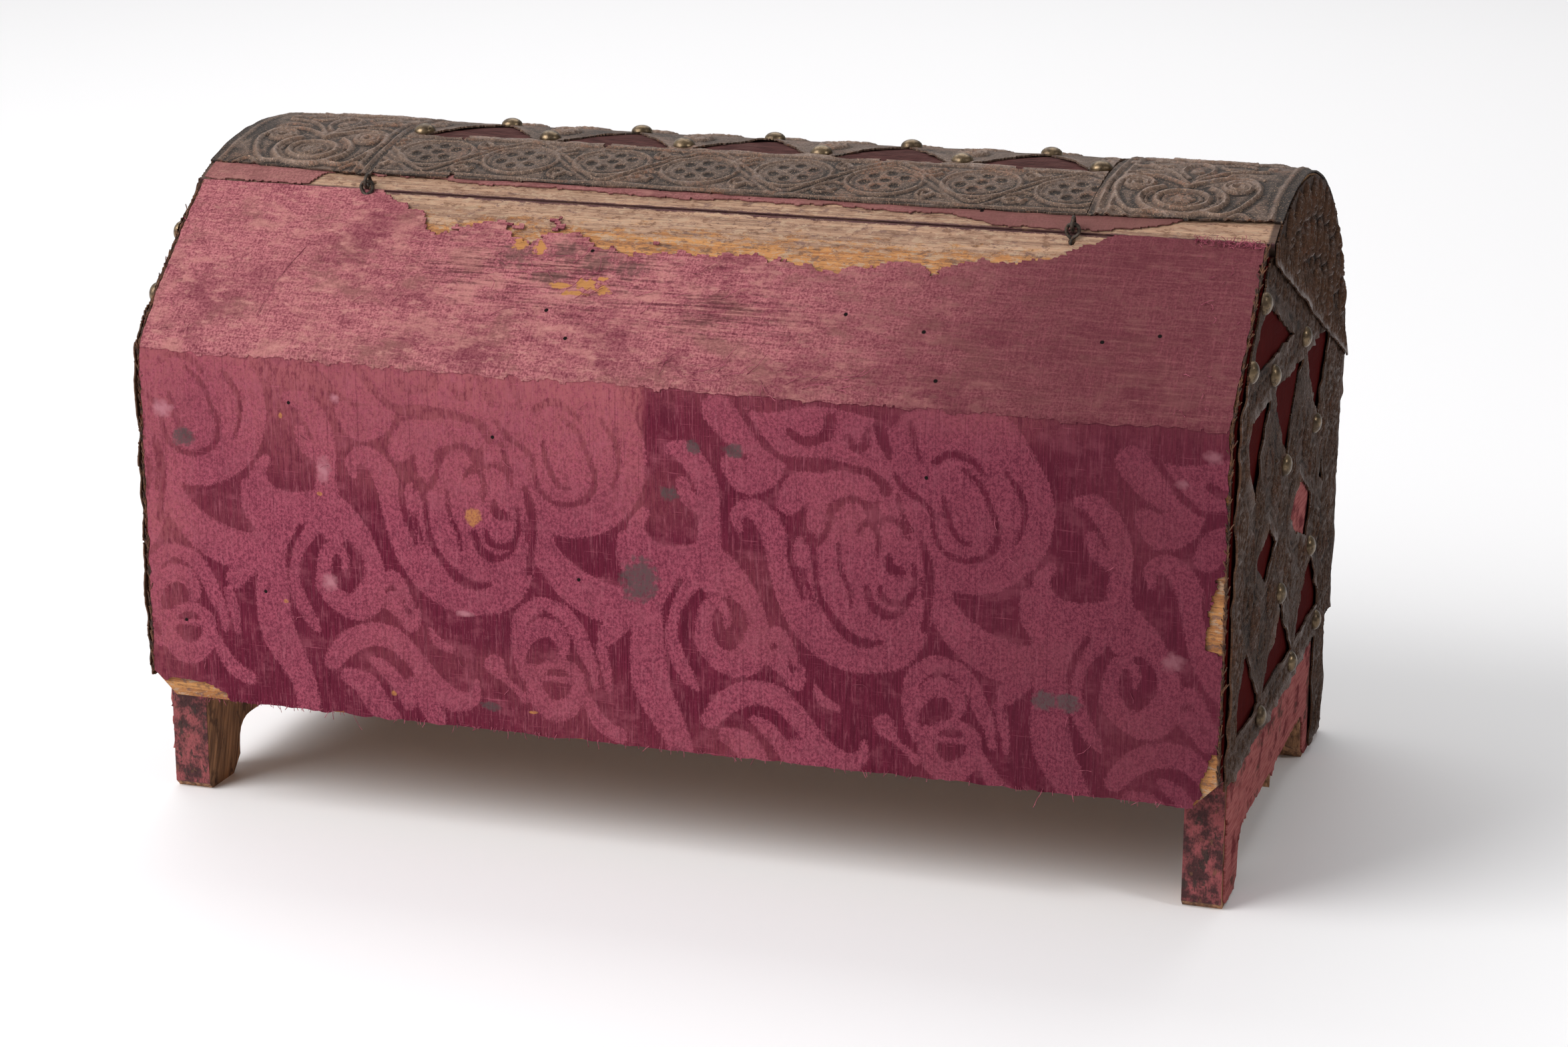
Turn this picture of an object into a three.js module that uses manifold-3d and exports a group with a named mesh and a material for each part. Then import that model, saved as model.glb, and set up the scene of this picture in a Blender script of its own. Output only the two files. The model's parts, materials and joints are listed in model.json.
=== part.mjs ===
// Small late-gothic casket: a wooden box with a flat, coved back and a curved lid, covered
// with velvet and damask, over which pierced and embossed sheet is nailed with brass.
// Millimetres, +Z up. The front, which opens, is at -Y; the hinges are at the back, +Y.
import * as THREE from 'three';
import { mergeVertices } from 'three/addons/utils/BufferGeometryUtils.js';
import Module from 'manifold-3d';

const wasm = await Module();
wasm.setup();

// Boards of the chest
const length = 402; // over the two end boards
const depth = 230.4; // over the back and front boards
const boardThickness = 13; // back, front and coving boards
const endThickness = 14;
const bottomThickness = 10;
const bottomRebate = 2; // bottom board above the back board's lower edge
const legClearance = 42; // floor to the lower edge of the back board
const seamHeight = 175; // top of the flat back board
const cornerCut = 9; // lower corners of the back and front boards
const covingBulge = 2.2; // rise of the coving board over its chord
const jointGap = 0.1; // between boards that touch

// Feet, cut out of the end boards
const rearFootWidth = 26;
const frontFootWidth = 42;
const archHeight = 20;
const cuspHeight = 13; // the point in the middle of the arch
const footWear = 6; // worn inner corner of a foot
const heelWear = 2.5; // worn outer corner of a foot

// Lid
const crownHeight = 240; // top of the wood
const rearRadius = 134.6; // curve behind the crown
const hingeDistance = 59.2; // crack between lid and coving, behind the middle
const lidFrontHeight = 158; // lower edge of the lid at the front
const staveThickness = 9;
const staveCount = 4;
const lidEndThickness = 14;
const lidOverhang = 1.6; // lid past the end boards, each end
const lidGap = 0.6; // between lid and chest
const crackWidth = 0.8;
const domeStep = 8; // length of a flat in the faceted curve
const leastFlat = 1;
const outlineSteps = 5; // flats in a round part of an outline
const covingSteps = 5;
const cutterMargin = 1; // cutter past what it cuts

// Cloth and sheet, in layers away from the wood
const clothThickness = 0.7;
const clothGap = 0.15;
const sheetThickness = 0.65;
const sheetGap = 0.1; // under sheet, plate and nail heads
const sheetSeam = 0.3; // between two sheets side by side
const hemMargin = 0.8; // cloth and sheet stop this short of an edge
const hingeClear = 6.5; // cloth stops this short of the crack, round the hinge eyes
const lipDrop = 7; // lid end sheet below the joint of lid and chest
const lipGap = 0.3; // between that lip and the sheet behind it

// Pierced pattern, common to the ends, the front and the lid
const windowMargin = 5; // half the strip between two windows
const tipNailOffset = 3; // nail beyond a window's tip
const holeHalfWidth = 17; // small lozenge between the windows
const holeHalfHeight = 11;

// End sheets
const endPeriod = 66; // from one window to the next
const endFirstTip = 17; // a window's tip, behind the middle
const endRearBorder = 20;
const endFrontBorder = 43;
const endSheetFoot = 48; // lower edge of the sheet
const endBandTop = 61.5; // upper edge of its lowest band
const endLowerTip = 88;
const endTopDrop = 40.3; // lower edge of the topmost window below the crack
const endUpperBand = 14; // from that edge down to the upper windows
const endWindowRise = 30; // height of an upper window
const capStrip = 22; // sheet left under the lid
const covingStrip = 7; // sheet left inside the coving's edge
const topWindowRear = 0.42; // rear corner, as a share of the coving
const topWindowPeak = 66;
const footStripWidth = 30; // sheet down the front foot
const footStripFoot = 3;

// Front sheet
const frontWindows = 5;
const frontMargin = 36; // beyond the outermost windows
const frontBandTop = 62;
const frontUpperBase = 143;
const frontTipRise = 25;

// Lid sheets
const bandWidth = 67; // bands round the lid at its ends
const edgeBare = 9; // uncovered wood above the crack
const borderWidth = 35; // strip along the crack, and another along the front edge
const lidWindows = 5;
const lidMargin = 1.8; // beyond the outermost windows
const lidTipRise = 30;
const baseNailOffset = 6; // nails beyond the border, between the windows
const lipInset = 1.2; // lid end sheet in front of the crack

// Raised work on the lid's bands and lattice, in its main forms
const raisedRise = 0.8;
const medallionRadius = 20; // round the ring
const medallionRing = 3.5; // width of the ring
const medallionPeriod = 62;
const medallionStart = 21; // first one in front of the band's rear edge
const medallionCount = 3;
const ringSides = 12;
const scrollRadius = 8;
const scrollSpread = 20; // beside the medallions
const scrollStep = 22; // in front of each one
const ribInset = 1.8; // long rib inside the band's inner edge
const ribWidth = 4.6;
const knobRadius = 8; // knobs of the lattice
const knobSpread = 14; // each side of the lattice's middle line
const cornerKnobRadius = 6.5;
const cornerKnobInset = 20; // between the windows, in front of the border

// Nails
const nailRadius = 3.75;
const nailRise = 2.8;
const nailShank = 1;
const nailClearance = 0.3;
const nailSides = 8;
const nailShoulder = 0.74; // width and height of a head's upper ring
const smallNailRadius = 1.9;
const smallNailRise = 1.1;
const smallNailShank = 0.7;

// Wire hinges
const wireRadius = 0.75;
const chestEyeRadius = 2.2; // to the middle of the wire
const lidEyeRadius = 2.4;
const hingeLift = 3.9; // pivot above the wood at the crack
const hingeSpacing = 266; // from one hinge to the other
const shankRadius = 1;
const shankClearance = 0.3;
const shankEntry = 3.5; // chest shank below the crack
const clinchLength = 7;
const clinchGap = 0.5; // clinched end inside the wood
const wireSides = 6;
const eyeSteps = 12;

// Lock, let into the front board behind its plate
const plateWidth = 62;
const plateMiddle = -8;
const plateBottom = 102;
const plateTop = 154;
const plateThickness = 1;
const plateNailInset = 2.5;
const recessMargin = 5; // plate past the recess, each way
const recessDepth = 3.6;
const slotWidth = 4.6;
const slotBottom = 121.5;
const slotTop = 147.5;
const keyholeX = -20;
const keyholeHeight = 115;
const keyholeRadius = 1.9;
const keySlotWidth = 1.7;
const keySlotDrop = 6;
const boltHeight = 5.4;
const boltThickness = 2.2;
const boltTip = -4; // tip of the drawn bolt
const boltLength = 24;
const boltMiddle = 129;
const boltFront = 1.1; // front of the bolt in front of the wood
const boltClearance = 0.5;
const talonWidth = 3; // notch that the key turns in
const talonDepth = 2;
const guideWidth = 3;
const guideWall = 1.1;
const guideOffsets = [9, 20]; // middles of the guides behind the bolt's tip
const springThickness = 0.6;
const springWidth = 2;
const springRise = 9;
const springSlack = 0.3;
const springLand = 2.5; // flat end against the recess
const springReach = 1.8; // leaf over the tail of the bolt

// Hasp, hinged on the lid's front edge
const haspWidth = 16;
const haspThickness = 1.6;
const haspFoot = 112;
const haspPivotHeight = 164;
const haspPivotReach = 4; // pivot in front of the wood
const haspSet = 0.8; // middle of the hasp in front of its pivot
const knuckleRadius = 3;
const knuckleWidth = 6;
const knuckleGap = 0.4;
const barrelSides = 12;
const haspOverlap = 1; // of the hasp's parts where they join
const pinRadius = 1.4;
const pinClearance = 0.35;
const pinHead = 0.8; // thickness of a riveted end
const pinHeadRadius = 2.1;
const stapleThickness = 3;
const stapleWire = 1.5; // inner bar of the staple
const stapleLeg = 2;
const stapleEye = 7; // clear height inside the staple
const stapleReach = 1.6; // inner side of the eye behind the wood's face
const strapLength = 48;
const strapThickness = 1.5;
const strapSet = 8; // lower end of the strap above the lid's front edge
const strapNails = [8, 38]; // along the strap, from its lower end

const halfLength = length / 2;
const halfDepth = depth / 2;
const innerDepth = halfDepth - boardThickness - jointGap;
const lidHalfLength = halfLength + lidOverhang;
const clothTop = clothGap + clothThickness;
const sheetBottom = clothTop + sheetGap;
const sheetTop = sheetBottom + sheetThickness;
const edge = halfDepth - hemMargin; // cloth and sheet on the ends, each side
const frontPeriod = (length - 2 * frontMargin) / frontWindows; // from one window to the next
const far = 2 * length; // past everything, for cutters

function finish(color, roughness, metalness = 0) {
  return new THREE.MeshStandardMaterial({ color, roughness, metalness });
}

const wood = finish(0xc79a68, 0.75);
const darkWood = finish(0x6b4a30, 0.8);
const damask = finish(0x7a2d47, 0.9);
const wornCloth = finish(0x9a6068, 0.95);
const velvet = finish(0x4a1513, 0.95);
const embossed = finish(0x564b45, 0.6, 0.35);
const brass = finish(0x8a7a4c, 0.4, 0.9);
const iron = finish(0x3a3634, 0.65, 0.8);

const chest = new THREE.Group();
const lid = new THREE.Group();
const hasp = new THREE.Group();
const bolt = new THREE.Group();

function addPart(group, name, geometry, material) {
  const mesh = new THREE.Mesh(geometry, material);
  mesh.name = name;
  group.add(mesh);
}

// Closed meshes to and from the boolean library

function toSolid(geometry) {
  const bare = new THREE.BufferGeometry();
  bare.setAttribute('position', geometry.getAttribute('position').clone());
  if (geometry.index) bare.setIndex(geometry.index.clone());
  const merged = mergeVertices(bare, 1e-4);
  return new wasm.Manifold(new wasm.Mesh({
    numProp: 3,
    vertProperties: new Float32Array(merged.getAttribute('position').array),
    triVerts: new Uint32Array(merged.index.array),
  }));
}

function toGeometry(solid) {
  const mesh = solid.getMesh();
  const geometry = new THREE.BufferGeometry();
  geometry.setAttribute('position', new THREE.BufferAttribute(mesh.vertProperties, 3));
  geometry.setIndex(new THREE.BufferAttribute(mesh.triVerts, 1));
  geometry.computeVertexNormals();
  return geometry;
}

function cut(base, ...cutters) {
  return toGeometry(cutters.map(toSolid).reduce((rest, cutter) => rest.subtract(cutter), toSolid(base)));
}

function join(...pieces) {
  return toGeometry(pieces.map(toSolid).reduce((whole, piece) => whole.add(piece)));
}

function common(first, second) {
  return toGeometry(toSolid(first).intersect(toSolid(second)));
}

function polygon(points) {
  return new THREE.Shape(points.map(([a, b]) => new THREE.Vector2(a, b)));
}

function roundHole(a, b, radius, sides = nailSides) {
  const points = [];
  for (let i = 0; i < sides; i += 1) {
    const angle = (2 * Math.PI * i) / sides;
    points.push([a + Math.cos(angle) * radius, b + Math.sin(angle) * radius]);
  }
  return points;
}

function rectangle(a0, a1, b0, b1) {
  return [[a0, b0], [a1, b0], [a1, b1], [a0, b1]];
}

// The part of a convex outline between two values of its first coordinate
function clipped(points, low, high) {
  const keep = (outline, inside, limit) => outline.flatMap((point, i) => {
    const next = outline[(i + 1) % outline.length];
    const kept = inside(point[0]) ? [point] : [];
    if (inside(point[0]) === inside(next[0])) return kept;
    const share = (limit - point[0]) / (next[0] - point[0]);
    return [...kept, [limit, point[1] + (next[1] - point[1]) * share]];
  });
  const front = keep(points, (value) => value >= low, low);
  return keep(front, (value) => value <= high, high);
}

// A (y, z) outline pushed along X from x0 to x1
function alongX(shape, x0, x1) {
  const options = { depth: x1 - x0, bevelEnabled: false, curveSegments: outlineSteps };
  const turn = new THREE.Matrix4().makeBasis(
    new THREE.Vector3(0, 1, 0),
    new THREE.Vector3(0, 0, 1),
    new THREE.Vector3(1, 0, 0),
  );
  return new THREE.ExtrudeGeometry(shape, options).applyMatrix4(turn).translate(x0, 0, 0);
}

// The same on either end of the casket, from low to high away from its middle
function atEnd(side, shape, low, high) {
  return side < 0 ? alongX(shape, -high, -low) : alongX(shape, low, high);
}

// An (x, z) outline pushed along Y from y0 to y1
function alongY(shape, y0, y1) {
  const options = { depth: y1 - y0, bevelEnabled: false, curveSegments: outlineSteps };
  return new THREE.ExtrudeGeometry(shape, options).rotateX(Math.PI / 2).translate(0, y1, 0);
}

function box(x0, x1, y0, y1, z0, z1) {
  return new THREE.BoxGeometry(x1 - x0, y1 - y0, z1 - z0)
    .translate((x0 + x1) / 2, (y0 + y1) / 2, (z0 + z1) / 2);
}

// A round bar between two points
function rod(start, end, radius, sides) {
  const a = new THREE.Vector3(...start);
  const b = new THREE.Vector3(...end);
  const axis = b.clone().sub(a);
  const turn = new THREE.Quaternion()
    .setFromUnitVectors(new THREE.Vector3(0, 1, 0), axis.clone().normalize());
  return new THREE.CylinderGeometry(radius, radius, axis.length(), sides)
    .applyQuaternion(turn)
    .translate(...a.add(b).multiplyScalar(0.5).toArray());
}

// The curve of the lid, measured along the wood from the crack towards the front

const crownArc = rearRadius * Math.asin(hingeDistance / rearRadius);
const frontDrop = crownHeight - lidFrontHeight;
const frontRadius = (frontDrop ** 2 + halfDepth ** 2) / (2 * frontDrop);
const domeLength = crownArc + frontRadius * Math.asin(halfDepth / frontRadius);

function domeAngle(along) {
  return (crownArc - along) / (along < crownArc ? rearRadius : frontRadius);
}

function domePoint(along, lift = 0) {
  const radius = along < crownArc ? rearRadius : frontRadius;
  const reach = radius + lift;
  const angle = domeAngle(along);
  return [Math.sin(angle) * reach, crownHeight - radius + Math.cos(angle) * reach];
}

function domeNormal(along) {
  return [0, Math.sin(domeAngle(along)), Math.cos(domeAngle(along))];
}

// Layers over each other bend at the same places, so their flats stay clear of each other
function domeArc(from, to, lift) {
  const [low, high] = [Math.min(from, to), Math.max(from, to)];
  const stations = [low];
  for (let along = domeStep; along < high - leastFlat; along += domeStep) {
    if (along > low + leastFlat) stations.push(along);
  }
  stations.push(high);
  if (from > to) stations.reverse();
  return stations.map((along) => domePoint(along, lift));
}

function domeBand(from, to, low, high) {
  return polygon([...domeArc(from, to, high), ...domeArc(to, from, low)]);
}

const [hingeY, hingeZ] = domePoint(0);
const [, crackY, crackZ] = domeNormal(0);

// A point over the crack, and beside it towards the front
function overCrack(lift, along = 0) {
  return [hingeY + crackY * lift - crackZ * along, hingeZ + crackZ * lift + crackY * along];
}

// The joint of lid and chest on the ends: a straight line from the crack to the front edge

const splitSlope = (hingeZ - lidFrontHeight) / (hingeY + halfDepth);

function splitHeight(y) {
  return hingeZ + (y - hingeY) * splitSlope;
}

// The coving board: slightly round, from the crack down to the seam

const covingChord = new THREE.Vector2(halfDepth - hingeY, seamHeight - hingeZ);
const covingRadius = covingChord.length() ** 2 / (8 * covingBulge) + covingBulge / 2;
const covingOutward = new THREE.Vector2(-covingChord.y, covingChord.x).normalize();
const covingCentre = new THREE.Vector2(hingeY, hingeZ)
  .addScaledVector(covingChord, 0.5)
  .addScaledVector(covingOutward, covingBulge - covingRadius);
const covingTop = Math.atan2(hingeZ - covingCentre.y, hingeY - covingCentre.x);
const covingBottom = Math.atan2(seamHeight - covingCentre.y, halfDepth - covingCentre.x);
const pastCoving = 0.4; // as a share, for cutters

// share runs from 0 at the crack to 1 at the seam
function covingPoint(share, lift = 0) {
  const angle = covingTop + (covingBottom - covingTop) * share;
  const reach = covingRadius + lift;
  return [covingCentre.x + Math.cos(angle) * reach, covingCentre.y + Math.sin(angle) * reach];
}

function covingArc(from, to, lift) {
  const points = [];
  for (let i = 0; i <= covingSteps; i += 1) {
    points.push(covingPoint(from + ((to - from) * i) / covingSteps, lift));
  }
  return points;
}

function covingBand(from, to, low, high) {
  return polygon([...covingArc(from, to, high), ...covingArc(to, from, low)]);
}

// Share of the coving at which its surface is at a height
function covingShare(height) {
  return (hingeZ - height) / (hingeZ - seamHeight);
}

// Cutters that part lid and chest

const aboveCrack = overCrack(far, -crackWidth / 2);
const underCrack = overCrack(-far, -crackWidth / 2);

// Everything above the joint on the ends and in front of the crack
function lidSide(gap) {
  return alongX(polygon([
    [-far, splitHeight(-far) - gap],
    [hingeY, hingeZ - gap],
    aboveCrack,
    [-far, far],
  ]), -far, far);
}

// The rearmost stave, which dips below that joint
function staveSide(gap) {
  return alongX(domeBand(-gap / 2, crownArc / 2, -staveThickness - gap, staveThickness), -far, far);
}

function chestSide() {
  return alongX(polygon([
    [-far, splitHeight(-far)],
    [-far, -far],
    [far, -far],
    [far, splitHeight(far)],
  ]), -far, far);
}

function inFrontOfCrack() {
  return alongX(polygon([aboveCrack, [-far, far], [-far, -far], underCrack]), -far, far);
}

// End boards, with the feet and the arch between them

function addFeet(shape, inset = 0) {
  const outer = innerDepth - inset;
  const rearInner = innerDepth - rearFootWidth + inset;
  const frontInner = frontFootWidth - innerDepth - inset;
  const middle = (rearInner + frontInner) / 2;
  const arch = archHeight + inset;
  const haunch = arch / 2;
  shape.lineTo(-outer, heelWear + inset);
  shape.lineTo(heelWear - outer, inset);
  shape.lineTo(frontInner - footWear, inset);
  shape.lineTo(frontInner, footWear + inset);
  shape.lineTo(frontInner, haunch);
  shape.quadraticCurveTo(frontInner, arch, frontInner + haunch, arch);
  shape.lineTo(middle - haunch, arch);
  shape.quadraticCurveTo(middle, arch, middle, cuspHeight + inset);
  shape.quadraticCurveTo(middle, arch, middle + haunch, arch);
  shape.lineTo(rearInner - haunch, arch);
  shape.quadraticCurveTo(rearInner, arch, rearInner, haunch);
  shape.lineTo(rearInner, footWear + inset);
  shape.lineTo(rearInner + footWear, inset);
  shape.lineTo(outer - heelWear, inset);
  shape.lineTo(outer, heelWear + inset);
  return shape;
}

function endBoard(side) {
  const upright = polygon([
    [innerDepth, seamHeight - jointGap],
    [hingeY, hingeZ],
    [-innerDepth, splitHeight(-innerDepth)],
  ]);
  const block = atEnd(side, addFeet(upright), halfLength - endThickness, halfLength);
  const underCoving = covingBand(-pastCoving, 1 + pastCoving, -boardThickness - jointGap, boardThickness);
  const coving = cut(
    alongX(underCoving, -far, far),
    box(-far, far, -far, far, -far, seamHeight - jointGap),
  );
  return cut(block, coving, lidSide(lidGap), staveSide(lidGap));
}

// Back, coving, front and bottom boards

function flatBoard(inset, top, y0, y1) {
  const halfWidth = halfLength - inset;
  const bottom = legClearance + inset;
  return alongY(polygon([
    [cornerCut - halfWidth, bottom],
    [halfWidth - cornerCut, bottom],
    [halfWidth, bottom + cornerCut],
    [halfWidth, top],
    [-halfWidth, top],
    [-halfWidth, bottom + cornerCut],
  ]), y0, y1);
}

function backBoard() {
  return flatBoard(0, seamHeight - jointGap, halfDepth - boardThickness, halfDepth);
}

function frontBoard() {
  const board = flatBoard(0, seamHeight, -halfDepth, boardThickness - halfDepth);
  return cut(board, lidSide(lidGap), lockRecess());
}

function backCoving() {
  const board = alongX(
    covingBand(-pastCoving, 1 + pastCoving, -boardThickness, 0),
    -halfLength,
    halfLength,
  );
  const underSeam = box(-far, far, -far, far, -far, seamHeight);
  return cut(board, inFrontOfCrack(), underSeam, ...hingeSides.map(chestShankHole));
}

function bottomBoard() {
  const halfWidth = halfLength - endThickness - jointGap;
  const bottom = legClearance + bottomRebate;
  return box(-halfWidth, halfWidth, -innerDepth, innerDepth, bottom, bottom + bottomThickness);
}

// Wood of the lid

function lidEnd(side) {
  const under = domeArc(crackWidth, domeLength, -staveThickness - jointGap);
  return cut(
    atEnd(side, polygon(under), lidHalfLength - lidEndThickness, lidHalfLength),
    chestSide(),
  );
}

function lidStave(index) {
  const width = (domeLength - crackWidth / 2) / staveCount;
  const from = crackWidth / 2 + width * index;
  const to = from + width - jointGap;
  const stave = alongX(domeBand(from, to, -staveThickness, 0), -lidHalfLength, lidHalfLength);
  if (index === 0) return cut(stave, ...hingeSides.map(lidShankHole));
  return cut(stave, chestSide());
}

// Cloth

function backDamask() {
  const face = halfDepth + clothGap;
  return flatBoard(hemMargin, seamHeight - hemMargin, face, face + clothThickness);
}

function covingCloth() {
  const top = hingeClear / covingChord.length();
  const bottom = 1 - hemMargin / covingChord.length();
  const halfWidth = halfLength - hemMargin;
  return alongX(covingBand(top, bottom, clothGap, clothTop), -halfWidth, halfWidth);
}

function frontVelvet() {
  const face = -halfDepth - clothGap;
  const cloth = flatBoard(hemMargin, seamHeight, face - clothThickness, face);
  return cut(cloth, lidSide(lidGap + hemMargin), lockRecess());
}

function lidVelvet() {
  const halfWidth = lidHalfLength - hemMargin;
  const strip = domeBand(edgeBare - hemMargin, domeLength - hemMargin, clothGap, clothTop);
  return alongX(strip, -halfWidth, halfWidth);
}

// The upper outline of an end of the chest, from its rear edge round to its front edge
function endOutline() {
  return [
    ...covingArc(1, 0, -hemMargin),
    [-edge, splitHeight(-edge)],
  ];
}

function clearOfLid(sheet) {
  return cut(sheet, lidSide(lidGap + hemMargin), staveSide(lidGap + hemMargin));
}

function endVelvet(side) {
  const shape = polygon([
    ...endOutline(),
    [-edge, legClearance + cornerCut],
    [hemMargin - innerDepth, legClearance + cornerCut],
  ]);
  addFeet(shape, hemMargin);
  shape.lineTo(innerDepth - hemMargin, legClearance + cornerCut);
  shape.lineTo(edge, legClearance + cornerCut);
  return clearOfLid(atEnd(side, shape, halfLength + clothGap, halfLength + clothTop));
}

// Pierced sheet on the ends of the chest

const endHigh = halfDepth - endRearBorder; // rear and front limits of the piercing
const endLow = endFrontBorder - halfDepth;
const windowHalf = endPeriod / 2 - windowMargin;
const endTopBand = hingeZ - endTopDrop;
const endUpperBase = endTopBand - endUpperBand;
const endUpperTip = endUpperBase - endWindowRise;

// Middles of the windows, from rear to front, that reach into the pierced part
function endMiddles(shift) {
  const places = [];
  for (let i = -2; i <= 2; i += 1) {
    places.push(endFirstTip + endPeriod * (i + shift));
  }
  return places.filter((y) => y > endLow && y < endHigh);
}

function triangle(middle, half, base, tip) {
  return [[middle - half, base], [middle, tip], [middle + half, base]];
}

function lozenge(middle, height) {
  return [
    [middle - holeHalfWidth, height],
    [middle, height - holeHalfHeight],
    [middle + holeHalfWidth, height],
    [middle, height + holeHalfHeight],
  ];
}

function topWindow() {
  const peak = [topWindowPeak, splitHeight(topWindowPeak) - capStrip];
  const frontCorner = topWindowPeak - (peak[1] - endTopBand) / splitSlope;
  const rearShare = covingShare(endTopBand + covingStrip * covingOutward.y);
  return [
    [frontCorner, endTopBand],
    [covingPoint(rearShare, -covingStrip)[0], endTopBand],
    covingPoint(topWindowRear, -covingStrip),
    peak,
  ];
}

function endOpenings() {
  const holeHeight = (endLowerTip + endUpperTip) / 2;
  const windows = endMiddles(0).flatMap((y) => [
    triangle(y, windowHalf, endBandTop, endLowerTip),
    triangle(y, windowHalf, endUpperBase, endUpperTip),
  ]);
  const holes = endMiddles(0.5).map((y) => lozenge(y, holeHeight));
  return [...windows, ...holes].map((points) => clipped(points, endLow, endHigh)).concat([topWindow()]);
}

function endSheet(side) {
  const shape = polygon([
    ...endOutline(),
    [-edge, endSheetFoot],
    [hemMargin - innerDepth, endSheetFoot],
    [hemMargin - innerDepth, footStripFoot],
    [footStripWidth - innerDepth, footStripFoot],
    [footStripWidth - innerDepth, endSheetFoot],
    [edge, endSheetFoot],
  ]);
  const cutters = endOpenings()
    .map((points) => atEnd(side, polygon(points), halfLength, halfLength + 2 * sheetTop));
  const sheet = atEnd(side, shape, halfLength + sheetBottom, halfLength + sheetTop);
  return clearOfLid(cut(sheet, ...cutters));
}

// Sheet on the ends of the lid, with its lip over the chest
function lidEndSheet(side) {
  const outline = polygon([
    ...domeArc(lipInset, domeLength, -lipGap),
    [-halfDepth, splitHeight(-halfDepth) - lipDrop],
    overCrack(-lipDrop, lipInset),
  ]);
  const face = lidHalfLength + lipGap;
  return atEnd(side, outline, face, face + sheetThickness);
}

// Pierced sheet on the front

function frontMiddles() {
  const places = [];
  for (let i = 0; i < frontWindows; i += 1) {
    places.push(frontPeriod * (i - (frontWindows - 1) / 2));
  }
  return places;
}

function behindPlate(x) {
  return Math.abs(x - plateMiddle) < (plateWidth + frontPeriod / 2) / 2;
}

function frontSheet() {
  const halfWidth = halfLength - hemMargin;
  const half = frontPeriod / 2 - windowMargin;
  const foot = legClearance + cornerCut;
  const shape = polygon(rectangle(-halfWidth, halfWidth, foot, seamHeight));
  const lower = frontMiddles().map((x) => triangle(x, half, frontBandTop, frontBandTop + frontTipRise));
  const upper = frontMiddles().filter((x) => !behindPlate(x))
    .map((x) => triangle(x, half, frontUpperBase, frontUpperBase - frontTipRise));
  const cutters = [...lower, ...upper]
    .map((points) => alongY(polygon(points), -halfDepth - 2 * sheetTop, -halfDepth));
  const sheet = alongY(shape, -halfDepth - sheetTop, -halfDepth - sheetBottom);
  return cut(sheet, ...cutters, lidSide(lidGap + hemMargin), lockRecess());
}

// Sheets on the curve of the lid

const bandInner = lidHalfLength - bandWidth;
const latticeHalf = bandInner - sheetSeam;
const lidPeriod = (2 * (latticeHalf - lidMargin)) / lidWindows;
const borderEnd = edgeBare + borderWidth;
const frontBorderStart = domeLength - hemMargin - borderWidth;

function lidStrip(from, to, x0, x1) {
  return alongX(domeBand(from, to, sheetBottom, sheetTop), x0, x1);
}

// A layer over the same strip, for raised work, which starts inside the sheet
function raisedStrip(from, to, x0, x1) {
  const foot = (sheetBottom + sheetTop) / 2;
  return alongX(domeBand(from, to, foot, sheetTop + raisedRise), x0, x1);
}

// A round bar that stands square on the lid, through the sheet
function lidRod(x, along, radius, sides = nailSides) {
  const middle = new THREE.Vector3(x, ...domePoint(along, sheetTop));
  const outward = new THREE.Vector3(...domeNormal(along)).multiplyScalar(nailRadius);
  const ends = [middle.clone().sub(outward), middle.clone().add(outward)];
  return rod(ends[0].toArray(), ends[1].toArray(), radius, sides);
}

// Each end's band: a long rib, and rings with a pair of scrolls in front of each
function lidBand(side) {
  const outer = lidHalfLength - hemMargin;
  const limits = side < 0 ? [-outer, -bandInner] : [bandInner, outer];
  const ends = [edgeBare, domeLength - hemMargin];
  const middle = (side * (bandInner + outer)) / 2;
  const shapes = [];
  for (let i = 0; i < medallionCount; i += 1) {
    const along = edgeBare + medallionStart + medallionPeriod * i;
    const inner = medallionRadius - medallionRing;
    shapes.push(cut(
      lidRod(middle, along, medallionRadius, ringSides),
      lidRod(middle, along, inner, ringSides),
    ));
    for (const offset of [-scrollSpread, scrollSpread]) {
      shapes.push(lidRod(middle + offset, along + scrollStep, scrollRadius));
    }
  }
  const rib = [bandInner + ribInset, bandInner + ribInset + ribWidth].map((x) => side * x);
  const ribEnds = ends.map((along, i) => along + (i ? -ribWidth : ribWidth));
  return join(
    lidStrip(...ends, ...limits),
    common(raisedStrip(...ends, ...limits), join(...shapes)),
    raisedStrip(...ribEnds, Math.min(...rib), Math.max(...rib)),
  );
}

function lidMiddles() {
  const places = [];
  for (let i = 0; i < lidWindows; i += 1) {
    places.push(lidPeriod * (i - (lidWindows - 1) / 2));
  }
  return places;
}

// A cutter straight through the curved sheet, with its corners at (x, along)
function domeCutter(corners) {
  const alongs = corners.map(([, along]) => along);
  const middle = (Math.min(...alongs) + Math.max(...alongs)) / 2;
  const [, outY, outZ] = domeNormal(middle);
  const [middleY, middleZ] = domePoint(middle, sheetBottom);
  const shape = polygon(corners.map(([x, along]) => {
    const [y, z] = domePoint(along, sheetBottom);
    return [x, (y - middleY) * outZ - (z - middleZ) * outY];
  }));
  const turn = new THREE.Matrix4().makeBasis(
    new THREE.Vector3(1, 0, 0),
    new THREE.Vector3(0, outZ, -outY),
    new THREE.Vector3(0, outY, outZ),
  ).setPosition(0, middleY, middleZ);
  return new THREE.ExtrudeGeometry(shape, { depth: 2 * nailRadius, bevelEnabled: false })
    .translate(0, 0, -nailRadius)
    .applyMatrix4(turn);
}

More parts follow.
